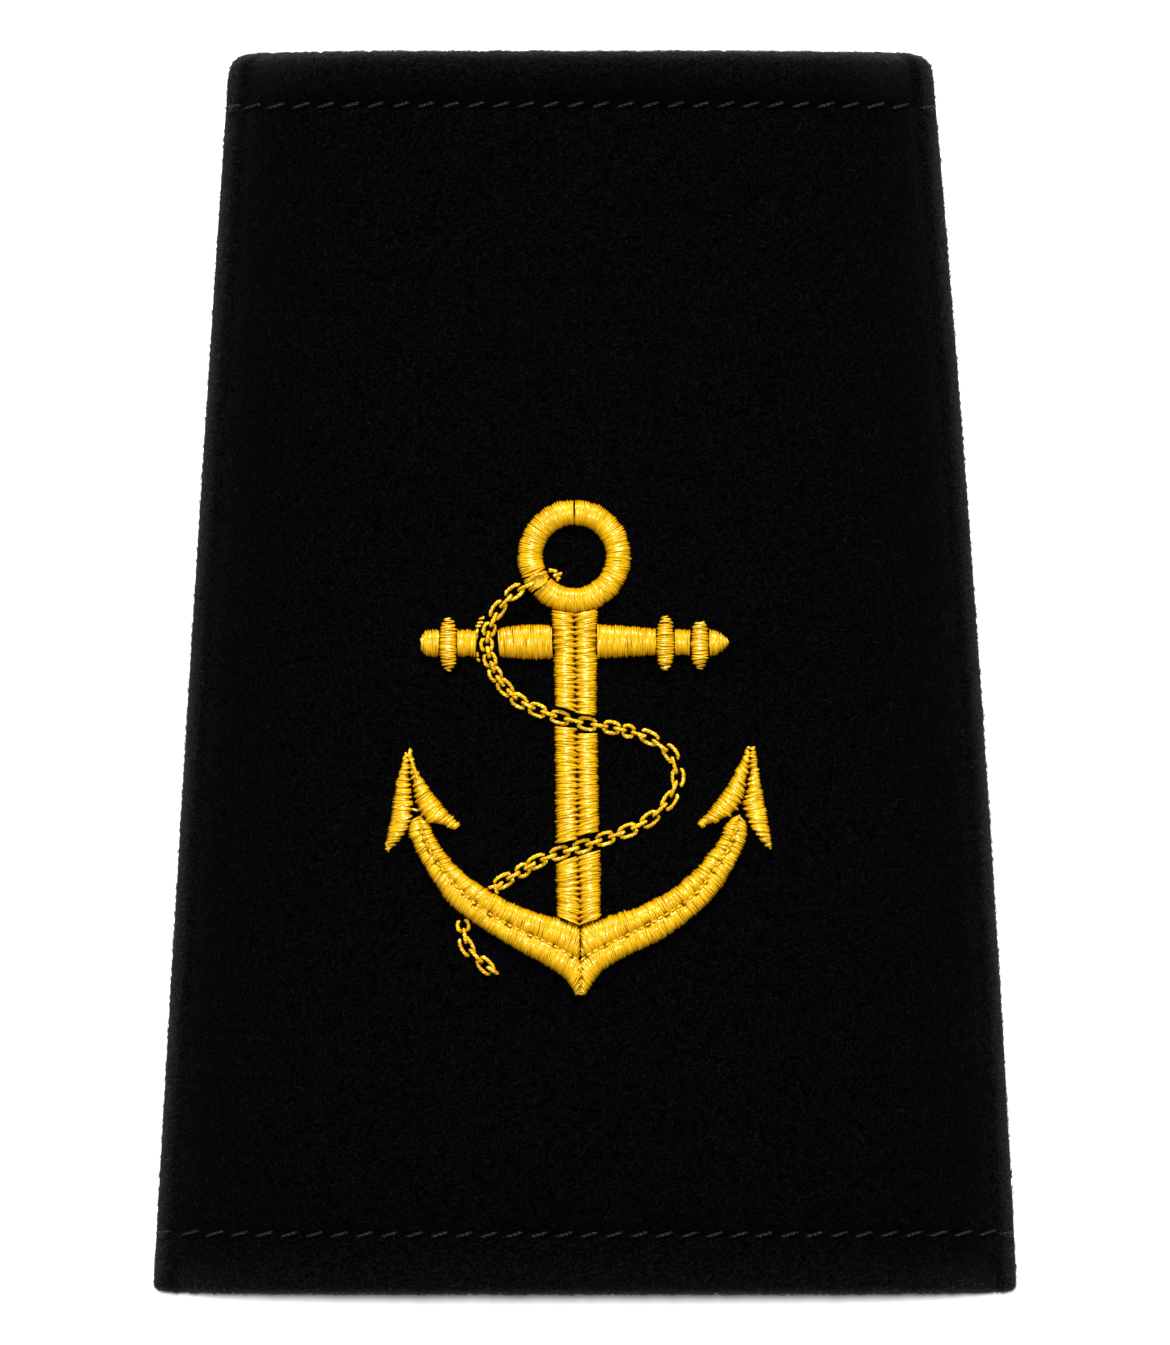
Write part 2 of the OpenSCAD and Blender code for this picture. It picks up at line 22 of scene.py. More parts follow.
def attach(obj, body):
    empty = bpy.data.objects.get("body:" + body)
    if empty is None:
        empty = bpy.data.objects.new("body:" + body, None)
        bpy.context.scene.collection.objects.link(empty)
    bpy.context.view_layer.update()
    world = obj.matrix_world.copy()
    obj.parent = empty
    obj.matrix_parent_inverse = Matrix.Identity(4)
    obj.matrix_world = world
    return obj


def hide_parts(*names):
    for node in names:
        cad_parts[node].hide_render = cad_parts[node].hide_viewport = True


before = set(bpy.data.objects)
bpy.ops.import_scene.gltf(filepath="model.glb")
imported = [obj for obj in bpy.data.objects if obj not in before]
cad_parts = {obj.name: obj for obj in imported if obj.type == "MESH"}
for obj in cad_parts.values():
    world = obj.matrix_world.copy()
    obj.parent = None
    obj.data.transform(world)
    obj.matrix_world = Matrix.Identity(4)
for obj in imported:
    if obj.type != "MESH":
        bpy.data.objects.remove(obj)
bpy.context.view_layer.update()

# %% [markdown]
# ## Working in millimetres
#
# Cloth and thread are measured in millimetres and Blender's scene in metres. Each mesh is
# therefore shaped in millimetres, and one function turns it to metres when it is finished.
# It also lets the piece ride on the badge, gives it its materials, and hides the
# plain solid that it stands for.

# %% Finish a piece
MM = 0.001


def finish_piece(name, mesh, materials, slot, *solids):
    """Puts a mesh made in millimetres into the scene as a piece of the badge."""
    mesh.transform(Matrix.Scale(MM, 4))
    mesh.shade_smooth()
    for material in materials:
        mesh.materials.append(material)
    piece = bpy.data.objects.new(name, mesh)
    bpy.context.scene.collection.objects.link(piece)
    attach(piece, "root")
    if solids:
        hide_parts(*solids)
    return piece


print("one unit of a mesh is", MM, "m when it is finished")

# %% [markdown]
# ## Camera
#
# The photograph looks straight down on the badge and shows no perspective, so the camera
# has a long lens and stands well back. One millimetre of the badge is 13.8 pixels wide, and
# the picture is 1345 pixels high, which gives the height of the view and, with the lens,
# the distance.

# %% Place the camera
PIXELS_PER_MM = 13.8
PICTURE_HEIGHT = 1345
LENS = 450.0
SENSOR = 36.0
FACE_LEVEL = 6.0

camera_data = bpy.data.cameras.new("camera")
camera_data.lens = LENS
camera_data.sensor_width = SENSOR
camera = bpy.data.objects.new("camera", camera_data)
bpy.context.scene.collection.objects.link(camera)
bpy.context.scene.camera = camera
view_height = PICTURE_HEIGHT / PIXELS_PER_MM
camera.location = (0, 0, (view_height * LENS / SENSOR + FACE_LEVEL) * MM)
print("the view is", round(view_height, 2), "mm high, the camera", round(camera.location.z, 3), "m up")

# %% [markdown]
# ## The pattern of the sleeve
#
# A tailor starts from a paper pattern, and so does this step: how wide the sleeve is at each
# place along it, how its corners are rounded, and where its centre line lies. The numbers
# are those of the solids, so the cloth lies where they do, but for the sides, which are set
# out by a quarter of a millimetre to where the real cloth bows. Each function takes one
# place or a whole array of them.

# %% Width of the sleeve along its length
LENGTH = 90.0
WIDE = 62.8
NARROW = 51.0
SIDE_BOW = 0.29
END_SHIFT = 0.34
MIDDLE_BOW = 0.16
NARROW_CORNER = 1.3
WIDE_CORNER = 0.45
CROWN = 7.8
CLOTH = 1.0
FRONT_BASE = 1.08
RIM_HEIGHT = 1.95
SEAM_INSET = 1.78
RISE_POWER = 5


def along(y):
    """Place along the sleeve, from 0 at its narrow end to 1 at its wide end."""
    return (LENGTH / 2 - y) / LENGTH


def middle_x(y):
    """Where the sleeve's centre line lies at y."""
    return -END_SHIFT * (1 - along(y)) + 4 * MIDDLE_BOW * along(y) * (1 - along(y))


def corner_cut(distance, radius):
    """How far a rounded corner draws the side in, at a distance from the end."""
    inside = np.clip(distance, 0, radius)
    return radius - np.sqrt(radius**2 - (radius - inside) ** 2)


def half_width(y):
    """Half of the sleeve's width at y."""
    straight = (NARROW + (WIDE - NARROW) * along(y)) / 2 + 4 * SIDE_BOW * along(y) * (1 - along(y))
    return straight - corner_cut(LENGTH / 2 - y, NARROW_CORNER) - corner_cut(LENGTH / 2 + y, WIDE_CORNER)


def face_height(share, lift):
    """Height of the front cloth from its sewn rim, share 0, to its middle, share 1."""
    rise = 1 - max(1 - share, 0) ** RISE_POWER
    low = FRONT_BASE + RIM_HEIGHT
    return low + (CROWN + lift - low) * rise


print("half widths:", [round(float(half_width(y)), 2) for y in (44, 0, -44)])

# %% [markdown]
# ## Cloth as a net of control points
#
# Thick cloth has no sharp edge: where it is folded or sewn down it turns in a soft curve. A
# subdivision surface would give such curves, but its points can't be thinned where the
# cloth is plain. A cubic B-spline is the same kind of surface with points where they are
# needed. Each row of the net is one loop round the cloth, out over its face and back along
# its lining. Blender's grid operator makes the mesh, and each of its points is moved to its
# place on the surface. At both ends the two layers meet in a fold, where doubled points are
# merged, so the sheet is closed. The short span round each side has an odd number of cuts,
# so no point is left alone at the tip of the fold.


# %% A sheet of cloth from a net
MERGE_MM = 0.0005


def spline_weights(count, places, closed):
    """How much each of a row of points counts at some places on the spline that they steer."""
    weights = np.zeros((len(places), count))
    for row, place in enumerate(places):
        first = min(int(place), count - 1 if closed else count - 2)
        t = place - first
        # The four parts of a cubic B-spline; past an open end its last two points are carried on
        parts = [(1 - t) ** 3, 3 * t**3 - 6 * t**2 + 4, -3 * t**3 + 3 * t**2 + 3 * t + 1, t**3]
        for step, part in zip(range(first - 1, first + 3), parts):
            if closed:
                weights[row, step % count] += part / 6
            elif step < 0:
                weights[row, 0] += 2 * part / 6
                weights[row, 1] -= part / 6
            elif step >= count:
                weights[row, -1] += 2 * part / 6
                weights[row, -2] -= part / 6
            else:
                weights[row, step] += part / 6
    return weights


def places_between(cuts):
    """Places along a row of points, with a number of cuts for each span."""
    return np.concatenate([span + np.arange(n) / n for span, n in enumerate(cuts)])


def formed_sheet(net, row_cuts, loop_cuts):
    """A closed sheet of cloth: a grid whose points are moved onto the spline surface of a net."""
    row_places = np.append(places_between(row_cuts), len(row_cuts))
    loop_places = places_between(loop_cuts)
    rows = spline_weights(len(net), row_places, closed=False)
    loops = spline_weights(net.shape[1], loop_places, closed=True)
    surface = np.einsum("ri,cj,ijk->rck", rows, loops, net)
    across, down = len(loop_places), len(row_places) - 1
    bm = bmesh.new()
    bmesh.ops.create_grid(bm, x_segments=across, y_segments=down, size=0.5)
    for vertex in bm.verts:
        column = round((vertex.co.x + 0.5) * across) % across
        vertex.co = surface[round((vertex.co.y + 0.5) * down), column]
    bmesh.ops.remove_doubles(bm, verts=bm.verts, dist=MERGE_MM)
    bmesh.ops.recalc_face_normals(bm, faces=bm.faces)
    return bm


print("at a point of a spline it and its neighbours count", spline_weights(3, [1], closed=True).round(3)[0])

# %% [markdown]
# ## Front cloth
#
# Each end of the front is turned in and stitched down, so it is two layers thick there and
# puffed on both sides of the stitching. Along the sides the front is sewn to the back, a
# little way in from the edge, which leaves a rounded rim with a sunk line beside it. The
# tables give these forms, a row for each place, and the loop repeats them on both sides.
#
# Cloth simulation could settle the sleeve, but the real one is pressed flat and firm, and a
# simulated sheet would lose its hems. So the folds are modelled.

# %% Tables of the front
NARROW_HEM = 3.88
WIDE_HEM = 4.3
# Columns: distance from the end as a share of the hem, lift of the face at the narrow end and
# at the wide end, thickness, how far the two layers are open (0 is the fold itself)
HEM_ROWS = [
    [0.00, -0.62, -0.72, 1.30, 0.00], [0.00, -0.52, -0.62, 1.34, 0.60], [0.05, -0.26, -0.34, 1.42, 0.90],
    [0.16, 0.06, -0.10, 1.56, 1.00], [0.36, 0.24, -0.08, 1.64, 1.00], [0.62, 0.12, -0.24, 1.56, 1.00],
    [0.88, -0.36, -0.48, 1.36, 1.00], [1.00, -0.92, -0.68, 1.10, 1.00], [1.10, -0.82, -0.42, 1.24, 1.00],
    [1.25, -0.70, -0.26, 1.34, 1.00], [1.50, -0.53, -0.17, 1.40, 1.00], [1.56, -0.49, -0.15, 1.14, 1.00],
    [1.60, -0.46, -0.14, 1.00, 1.00], [1.76, -0.38, -0.12, 1.00, 1.00],
]
PLAIN_LIFT = -0.10
HEM_CUTS = [4, 4, 4, 4, 4, 4, 4, 4, 4, 3, 3, 3, 3]
PLAIN_SHARES = [0.14, 0.32, 0.50, 0.68, 0.86]
PLAIN_CUTS = [20] * (len(PLAIN_SHARES) + 1)
# Columns: inset of the face from the side, its height as a share of the rim, inset of the lining
RIM_ROWS = [
    [0.42, 0.05, 0.80], [-0.06, 0.24, 1.10], [0.04, 0.48, 1.40], [0.48, 0.73, 1.70],
    [0.96, 0.90, 2.00], [1.35, 0.91, 2.30], [1.78, 1.00, 2.60],
]
FACE_SHARES = [0.05, 0.12, 0.21, 0.33, 0.48, 0.70]
SIDE_CUTS = [4, 4, 4, 4, 4, 4, 3, 4, 5, 7, 9, 13, 18]
# Where the turned layer of a hem ends, as a share of the hem
TURNING = 1.8
print("a hem has", len(HEM_ROWS), "rows, and a rim has", len(RIM_ROWS))

# %% Form the front
LEAST_RIM = 0.75
STEEP_INSET = 0.3
STEEP_DROP = 0.4


def hem_places(rows):
    """Each row of a hem table with its place along the sleeve, from the narrow end to the wide."""
    narrow = [(LENGTH / 2 - NARROW_HEM * row[0], row) for row in rows]
    wide = [(-LENGTH / 2 + WIDE_HEM * row[0], row) for row in rows[::-1]]
    plain = [(narrow[-1][0] + (wide[0][0] - narrow[-1][0]) * share, rows[-1]) for share in PLAIN_SHARES]
    return narrow + plain + wide


def closed_loop(half, y, opening):
    """A loop round the cloth from points of its left half: (inset, height) on the face and the lining."""
    outer = np.array([[-half_width(y) + inset + middle_x(y), y, z] for (inset, z), _ in half])
    inner = np.array([[-half_width(y) + inset + middle_x(y), y, z] for _, (inset, z) in half])
    middle = (outer + inner) / 2
    sides = [middle + (outer - middle) * opening, middle + (inner - middle) * opening]
    mirrored = [side[:-1][::-1] * [-1, 1, 1] + [2 * middle_x(y), 0, 0] for side in sides]
    return np.concatenate([sides[0], mirrored[0], mirrored[1][::-1], sides[1][::-1]])


def front_half(y, lift, thickness):
    """Points of the front's left half at y, on its face and on its lining."""
    reach = half_width(y) - SEAM_INSET
    rim = RIM_HEIGHT * max(LEAST_RIM, 1 + lift / RIM_HEIGHT / 2)
    half = [((inset, FRONT_BASE + rim * height), (under, FRONT_BASE)) for inset, height, under in RIM_ROWS]
    for share in FACE_SHARES + [1.0]:
        slope = RISE_POWER * (1 - share) ** (RISE_POWER - 1) * (CROWN - FRONT_BASE - RIM_HEIGHT) / reach
        inset = SEAM_INSET + reach * share
        height = face_height(share, lift)
        lining = height - thickness * math.sqrt(1 + STEEP_DROP * slope**2)
        half.append(((inset, height), (inset + thickness * STEEP_INSET * min(1, slope), lining)))
    half[-1] = (half[-1][0], (half[-1][0][0], half[-1][1][1]))
    return half


def face_lift(y, narrow_lift, wide_lift):
    """Lift of the face at y: that of the nearer hem, or of the plain cloth between them."""
    in_hem = LENGTH / 2 - abs(y) < TURNING * (NARROW_HEM if y > 0 else WIDE_HEM)
    return (narrow_lift if y > 0 else wide_lift) if in_hem else PLAIN_LIFT


front_net = np.array([
    closed_loop(front_half(y, face_lift(y, narrow_lift, wide_lift), thickness), y, opening)
    for y, (_, narrow_lift, wide_lift, thickness, opening) in hem_places(HEM_ROWS)
])
ROW_CUTS = HEM_CUTS + PLAIN_CUTS + HEM_CUTS[::-1]
END_CUTS = 3
loop_cuts = SIDE_CUTS + SIDE_CUTS[::-1]
front_form = formed_sheet(front_net, ROW_CUTS, loop_cuts + [END_CUTS] + loop_cuts + [END_CUTS])
print("front net:", front_net.shape, "points:", len(front_form.verts))

# %% [markdown]
# ## Dents of the stitching
#
# A lockstitch pulls the cloth down where the needle went through, so each hem line is a row
# of small pits. The machine made a stitch every 1.8 mm. The pits are pressed into the
# mesh with a smooth bell shape, and the same numbers later place the thread.

# %% Press the needle holes into the hems
STITCH_PITCH = 1.81
NARROW_LINE = LENGTH / 2 - NARROW_HEM
WIDE_LINE = -LENGTH / 2 + WIDE_HEM
HEM_LINES = {NARROW_LINE: -0.35, WIDE_LINE: 0.30}
LINE_END_INSET = 0.75
PIT_DEPTH = 0.16
PIT_RADIUS = 0.42
PIT_STRETCH = 1.5
PINCH = 0.22
PINCH_LENGTH = 0.36
RIM_REACH = 1.1
# A bell shape is taken as flat past three of its radii
BELL_REACH = 3
FACE_FLOOR = FRONT_BASE + 1


def hole_places(y, phase):
    """Places across a hem line where the needle went through."""
    reach = float(half_width(y)) - LINE_END_INSET
    count = int(2 * reach / STITCH_PITCH)
    return [middle_x(y) + phase + (k - count / 2) * STITCH_PITCH for k in range(count + 1)]


for line, phase in HEM_LINES.items():
    holes = np.array(hole_places(line, phase))
    near = [v for v in front_form.verts
            if abs(v.co.y - line) < BELL_REACH * PIT_RADIUS and v.co.z > FACE_FLOOR]
    for vertex in near:
        nearest = np.abs(holes - vertex.co.x).min()
        distance = math.hypot(nearest, (vertex.co.y - line) * PIT_STRETCH)
        vertex.co.z -= PIT_DEPTH * math.exp(-((distance / PIT_RADIUS) ** 2))
    half = float(half_width(line))
    for vertex in front_form.verts:
        outward = abs(vertex.co.x - middle_x(line)) - half + RIM_REACH
        beside = vertex.co.y - line
        if outward > 0 and abs(beside) < BELL_REACH * PINCH_LENGTH:
            drawn = PINCH * min(1, outward / RIM_REACH) * math.exp(-((beside / PINCH_LENGTH) ** 2))
            vertex.co.x -= math.copysign(drawn, vertex.co.x)
    print("hem line at", round(line, 2), "mm has", len(holes), "needle holes")

# %% [markdown]
# ## Uneven cloth
#
# Felted wool is never quite even: it has shallow hills a few millimetres wide, and its
# edges are a little ragged. Each point of the face is moved by Blender's own noise. Its vector
# form takes its offsets from the noise module's seed, which is the time of day unless it is
# set, so it is set here and every run gives the same cloth. Each point also keeps how near it
# is to the edge of the badge, where the finish paints a grey sheen into the cloth's colour
# along the rims and hems.

# %% Make the cloth uneven
NOISE_SEED = 7
HILL_MM = 4.5
HILL_HEIGHT = 0.06
RAGGED_MM = 0.7
RAGGED_HEIGHT = 0.07
# How far the painted grey sheen of the rims reaches in from the sides and from the ends, and how much of it
# the ends get
SIDE_REACH = 2.8
END_REACH = 4.4
END_SHARE = 0.6


def insets(x, y):
    """Distance of places on the badge from its nearer side, and from its nearer end."""
    return half_width(y) - np.abs(x - middle_x(y)), LENGTH / 2 - np.abs(y)


def cloth_mesh(name, form):
    """The mesh of a cloth, with a value that falls from 1 at the edge of the badge to 0 inside, which sets
    where a grey sheen is painted.
    """
    mesh = bpy.data.meshes.new(name)
    form.to_mesh(mesh)
    form.free()
    points = np.array([v.co[:2] for v in mesh.vertices])
    side, end = insets(points[:, 0], points[:, 1])
    at_side = np.clip(1 - side / SIDE_REACH, 0, 1) ** 2
    at_end = np.clip(1 - end / END_REACH, 0, 1) ** 2
    edge = np.maximum(at_side, END_SHARE * at_end)
    mesh.attributes.new("edge", "FLOAT", "POINT").data.foreach_set("value", edge.astype(np.float32))
    return mesh


noise.seed_set(NOISE_SEED)
for vertex in front_form.verts:
    hills = noise.noise(vertex.co / HILL_MM) * HILL_HEIGHT
    ragged = noise.noise_vector(vertex.co / RAGGED_MM) * RAGGED_HEIGHT
    vertex.co += Vector((ragged.x, ragged.y, hills + ragged.z / 2))

front_tree = BVHTree.FromBMesh(front_form)
front_mesh = cloth_mesh("front_cloth", front_form)
print("front cloth:", len(front_mesh.polygons), "faces")

# %% [markdown]
# ## Back cloth
#
# The back is flat, because the badge lies on it, and has the same hems, turned to the inside.
# Its loop is made with the same function from a table of its own. A groove runs along its
# underside where the side seams and the hem lines are sewn.

# %% Form the back
# Columns: distance from the end as a share of the hem, groove in the underside,
# share of the turned layer, how far the two layers are open
BACK_HEM_ROWS = [
    [0.00, 0.0, 1.0, 0.00], [0.00, 0.0, 1.0, 0.60], [0.05, 0.0, 1.0, 0.90],
    [0.17, 0.0, 1.0, 1.00], [0.42, 0.0, 1.0, 1.00], [0.74, 0.0, 1.0, 1.00],
    [0.91, 0.0, 1.0, 1.00], [1.00, 0.4, 1.0, 1.00], [1.09, 0.0, 1.0, 1.00],
    [1.25, 0.0, 1.0, 1.00], [1.50, 0.0, 1.0, 1.00], [1.56, 0.0, 0.5, 1.00],
    [1.60, 0.0, 0.0, 1.00], [1.76, 0.0, 0.0, 1.00],
]
# Columns: inset from the side, height of the underside, height of the lining, share of the turned layer
BACK_EDGE_ROWS = [
    [-0.03, 0.36, 0.62, 0], [0.04, 0.04, 0.96, 0], [0.45, 0.0, 1.0, 0], [1.05, 0.0, 1.0, 0],
    [1.35, 0.35, 1.0, 0], [1.65, 0.0, 1.0, 0], [2.80, 0.0, 1.0, 0], [3.45, 0.0, 1.0, 0],
    [3.70, 0.0, 1.0, 1],
]
BACK_SHARES = [0.25, 0.45, 0.70, 1.0]
BACK_CUTS = [4, 3, 2, 3, 3, 3, 3, 2, 4, 8, 9, 9]
TURNED_LAYER = 0.5
GROOVE_INSET = 1.0


def back_half(y, groove, turned):
    """Points of the back's left half at y, on its underside and on its lining."""
    half = [((inset, max(low, groove if inset > GROOVE_INSET else 0)),
             (inset, high + TURNED_LAYER * layer * turned))
            for inset, low, high, layer in BACK_EDGE_ROWS]
    reach = half_width(y)
    lining = CLOTH + TURNED_LAYER * turned
    return half + [((reach * share, groove), (reach * share, lining)) for share in BACK_SHARES]


back_net = np.array([
    closed_loop(back_half(y, groove, turned), y, opening)
    for y, (_, groove, turned, opening) in hem_places(BACK_HEM_ROWS)
])
back_loop = BACK_CUTS + BACK_CUTS[::-1]
back_form = formed_sheet(back_net, ROW_CUTS, back_loop + [END_CUTS] + back_loop + [END_CUTS])
back_tree = BVHTree.FromBMesh(back_form)
back_mesh = cloth_mesh("back_cloth", back_form)
print("back cloth:", len(back_mesh.polygons), "faces")

# %% [markdown]
# ## Nodes in one function
#
# A material is a small tree of nodes. Writing each node out takes three kinds of line: make
# it, set it, join it. One function does all three, so a material reads as a list of what
# feeds what. Colours are written as on a colour chart and turned to linear light.


# %% Add a node, and turn a colour to linear
def add_node(tree, kind, inputs=None, **settings):
    """Adds a node, sets its settings, and gives its inputs a value or another node's output."""
    node = tree.nodes.new(kind)
    for name, value in settings.items():
        setattr(node, name, value)
    for socket, value in (inputs or {}).items():
        if isinstance(value, bpy.types.NodeSocket):
            tree.links.new(value, node.inputs[socket])
        else:
            node.inputs[socket].default_value = value
    return node


def linear(hex_colour):
    """A colour chart's hex value as linear red, green, blue and alpha."""
    parts = [int(hex_colour[i:i + 2], 16) / 255 for i in (1, 3, 5)]
    return [p / 12.92 if p <= 0.04045 else ((p + 0.055) / 1.055) ** 2.4 for p in parts] + [1.0]


def new_material(name):
    """An empty material with its tree."""
    material = bpy.data.materials.new(name)
    material.use_nodes = True
    material.node_tree.nodes.clear()
    return material, material.node_tree


print("half grey on a chart is", round(linear("#808080")[0], 3), "of white in linear light")

# %% [markdown]
# ## Black melton wool
#
# Melton is woven from woollen yarn, fulled until it felts, then cropped. What the eye sees is
# a nap of fine fibres, each a few hundredths of a millimetre thick, that lean mostly one way
# on a near-black ground. The cloth is so dark that only the fibres on top catch some light,
# most of all along the rims, where many of them are seen edge on.
#
# The fibres are the ridges of a noise that is stretched along them. A cell pattern turns
# the noise by another angle in each cell, so the ridges are cut into short lengths.
# A real fibre is too fine for the picture, so each is drawn about twice as wide.
# Round the folded edges a grey sheen is painted into the cloth's colour. It stands for the
# light that the open nap catches there, where the fibre ends seen along the surface hide the
# dark ground; it is stronger and narrower than the shader's own sheen, so a Layer Weight node
# and the edge value make it.

# %% Fibres of the nap
FIBRE_WIDTH_MM = 0.038
FIBRE_LENGTH_MM = 0.28
FIBRE_CELL_MM = 0.45
NAP_LAY = math.radians(35)
NAP_SPREAD = math.radians(110)
# Width of a ridge of Blender's noise as a share of its period, and the values that it spans
RIDGE_SHARE = 0.6
RIDGE_FROM = 0.46
RIDGE_TO = 0.86


def fibre_layer(tree, place, shift):
    """Fibres of one layer of the nap, as 0 on the ground and 1 on a fibre."""
    moved = add_node(tree, "ShaderNodeVectorMath", {0: place, 1: shift}, operation="ADD")
    cells = add_node(tree, "ShaderNodeTexVoronoi", {
        "Vector": moved.outputs[0], "Scale": 1 / FIBRE_CELL_MM})
    turn = add_node(tree, "ShaderNodeSeparateColor", {0: cells.outputs["Color"]})
    angle = add_node(tree, "ShaderNodeMapRange", {
        "Value": turn.outputs[0], "To Min": -NAP_LAY - NAP_SPREAD / 2, "To Max": -NAP_LAY + NAP_SPREAD / 2})
    turned = add_node(tree, "ShaderNodeVectorRotate", {
        "Vector": moved.outputs[0], "Angle": angle.outputs[0]}, rotation_type="Z_AXIS")
    length, width = RIDGE_SHARE / FIBRE_LENGTH_MM, RIDGE_SHARE / FIBRE_WIDTH_MM
    stretched = add_node(tree, "ShaderNodeMapping", {
        "Vector": turned.outputs[0], "Scale": (length, width, width)})
    ridges = add_node(tree, "ShaderNodeTexNoise", {
        "Vector": stretched.outputs[0], "Scale": 1.0, "Detail": 0.0})
    stroke = add_node(tree, "ShaderNodeMapRange", {
        "Value": ridges.outputs[0], "From Min": RIDGE_FROM, "From Max": RIDGE_TO},
        interpolation_type="SMOOTHSTEP")
    return stroke.outputs[0]


print("a fibre of the nap is", FIBRE_WIDTH_MM, "mm wide and", FIBRE_LENGTH_MM, "mm long")

# %% Melton
CURL_MM = 0.06
CURLS_PER_MM = 1.9
# The noise that bends the fibres stays within this distance of its middle value
NOISE_REACH = 0.25
SECOND_LAYER = (13.7, 5.1, 2.3)
NAP_HEIGHT_MM = 0.03
TUFTS_PER_MM = 5.0
# The grey sheen painted into the colour: how fast it grows towards the edge of the view, what
# is left of it from straight above, and what the ground between the fibres has of it
SHEEN_POWER = 1.5
SHEEN_FROM_ABOVE = 0.06
SHEEN_ON_GROUND = 0.35


def melton_wool():
    """Fulled wool cloth with a cropped nap."""
    material, tree = new_material("black_melton_wool")
    place = add_node(tree, "ShaderNodeTexCoord")
    scaled = add_node(tree, "ShaderNodeMapping", {
        "Vector": place.outputs["Object"], "Scale": (1 / MM, 1 / MM, 1 / MM)})
    bend = add_node(tree, "ShaderNodeTexNoise", {
        "Vector": scaled.outputs[0], "Scale": CURLS_PER_MM, "Detail": 0.0})
    centred = add_node(tree, "ShaderNodeVectorMath", {
        0: bend.outputs["Color"], 1: (0.5, 0.5, 0.5)}, operation="SUBTRACT")
    curl = add_node(tree, "ShaderNodeVectorMath", {
        0: centred.outputs[0], "Scale": CURL_MM / NOISE_REACH}, operation="SCALE")
    curled = add_node(tree, "ShaderNodeVectorMath", {
        0: scaled.outputs[0], 1: curl.outputs[0]}, operation="ADD")
    first = fibre_layer(tree, curled.outputs[0], (0.0, 0.0, 0.0))
    second = fibre_layer(tree, curled.outputs[0], SECOND_LAYER)
    nap = add_node(tree, "ShaderNodeMath", {0: first, 1: second}, operation="MAXIMUM")
    colour = add_node(tree, "ShaderNodeMix", {
        "Factor": nap.outputs[0], "A": linear("#000000"), "B": linear("#080809")}, data_type="RGBA")
    # Painted sheen: a grey mixed into the colour where the cloth is seen edge on and near its rims, with a
    # little of it even from straight above
    view = add_node(tree, "ShaderNodeLayerWeight", {"Blend": 0.5})
    grazing = add_node(tree, "ShaderNodeMath", {
        0: view.outputs["Facing"], 1: SHEEN_POWER}, operation="POWER")
    edge = add_node(tree, "ShaderNodeAttribute", attribute_name="edge")
    sheen_by_view = add_node(tree, "ShaderNodeMath", {
        0: grazing.outputs[0], 1: SHEEN_FROM_ABOVE}, operation="ADD")
    fibrous = add_node(tree, "ShaderNodeMath", {0: nap.outputs[0], 1: SHEEN_ON_GROUND}, operation="ADD")
    at_edge = add_node(tree, "ShaderNodeMath", {
        0: sheen_by_view.outputs[0], 1: edge.outputs["Fac"]}, operation="MULTIPLY")
    painted_sheen_share = add_node(tree, "ShaderNodeMath", {
        0: at_edge.outputs[0], 1: fibrous.outputs[0]}, operation="MULTIPLY")
    painted_sheen_colour = add_node(tree, "ShaderNodeMix", {
        "Factor": painted_sheen_share.outputs[0], "A": colour.outputs["Result"], "B": linear("#434241")},
        data_type="RGBA")
    tufts = add_node(tree, "ShaderNodeTexNoise", {
        "Vector": scaled.outputs[0], "Scale": TUFTS_PER_MM, "Detail": 1.0})
    bump = add_node(tree, "ShaderNodeBump", {
        "Height": tufts.outputs[0], "Distance": NAP_HEIGHT_MM * MM, "Strength": 1.0})
    shader = add_node(tree, "ShaderNodeBsdfPrincipled", {
        "Base Color": painted_sheen_colour.outputs["Result"], "Normal": bump.outputs[0], "Roughness": 0.9,
        "Specular IOR Level": 0.0, "Sheen Weight": 0.01, "Sheen Roughness": 0.5,
        "Sheen Tint": linear("#f2f2f6")})
    add_node(tree, "ShaderNodeOutputMaterial", {"Surface": shader.outputs[0]})
    return material


black_melton = melton_wool()
front_cloth = finish_piece("front_cloth", front_mesh, [black_melton], "black_wool", "front_panel")
back_cloth = finish_piece("back_cloth", back_mesh, [black_melton], "black_wool", "back_panel")
print("melton on", front_cloth.name, "and", back_cloth.name)

# %% [markdown]
# ## A thread, laid many times
#
# Every stitch is a length of thread, so one thread is modelled once, as a tube of rings, and
# array arithmetic lays a copy along each stitch. The tube comes from Blender's cone operator,
# with its long edges cut into rings. Its UV map runs along the thread in millimetres and
# once round it, which lets a material follow the thread. Each copy starts at a place of
# its own on that map, so no two threads show the same glints. Where the two half axes of the
# rings turn the other way round the path, the copies come out inside out, so their faces
# are turned.
#
# An embroidery thread is two strands of rayon with a loose twist, which makes it slightly
# flat, and the flat turns as it goes. So each ring is an oval, turned a little further than
# the one before.


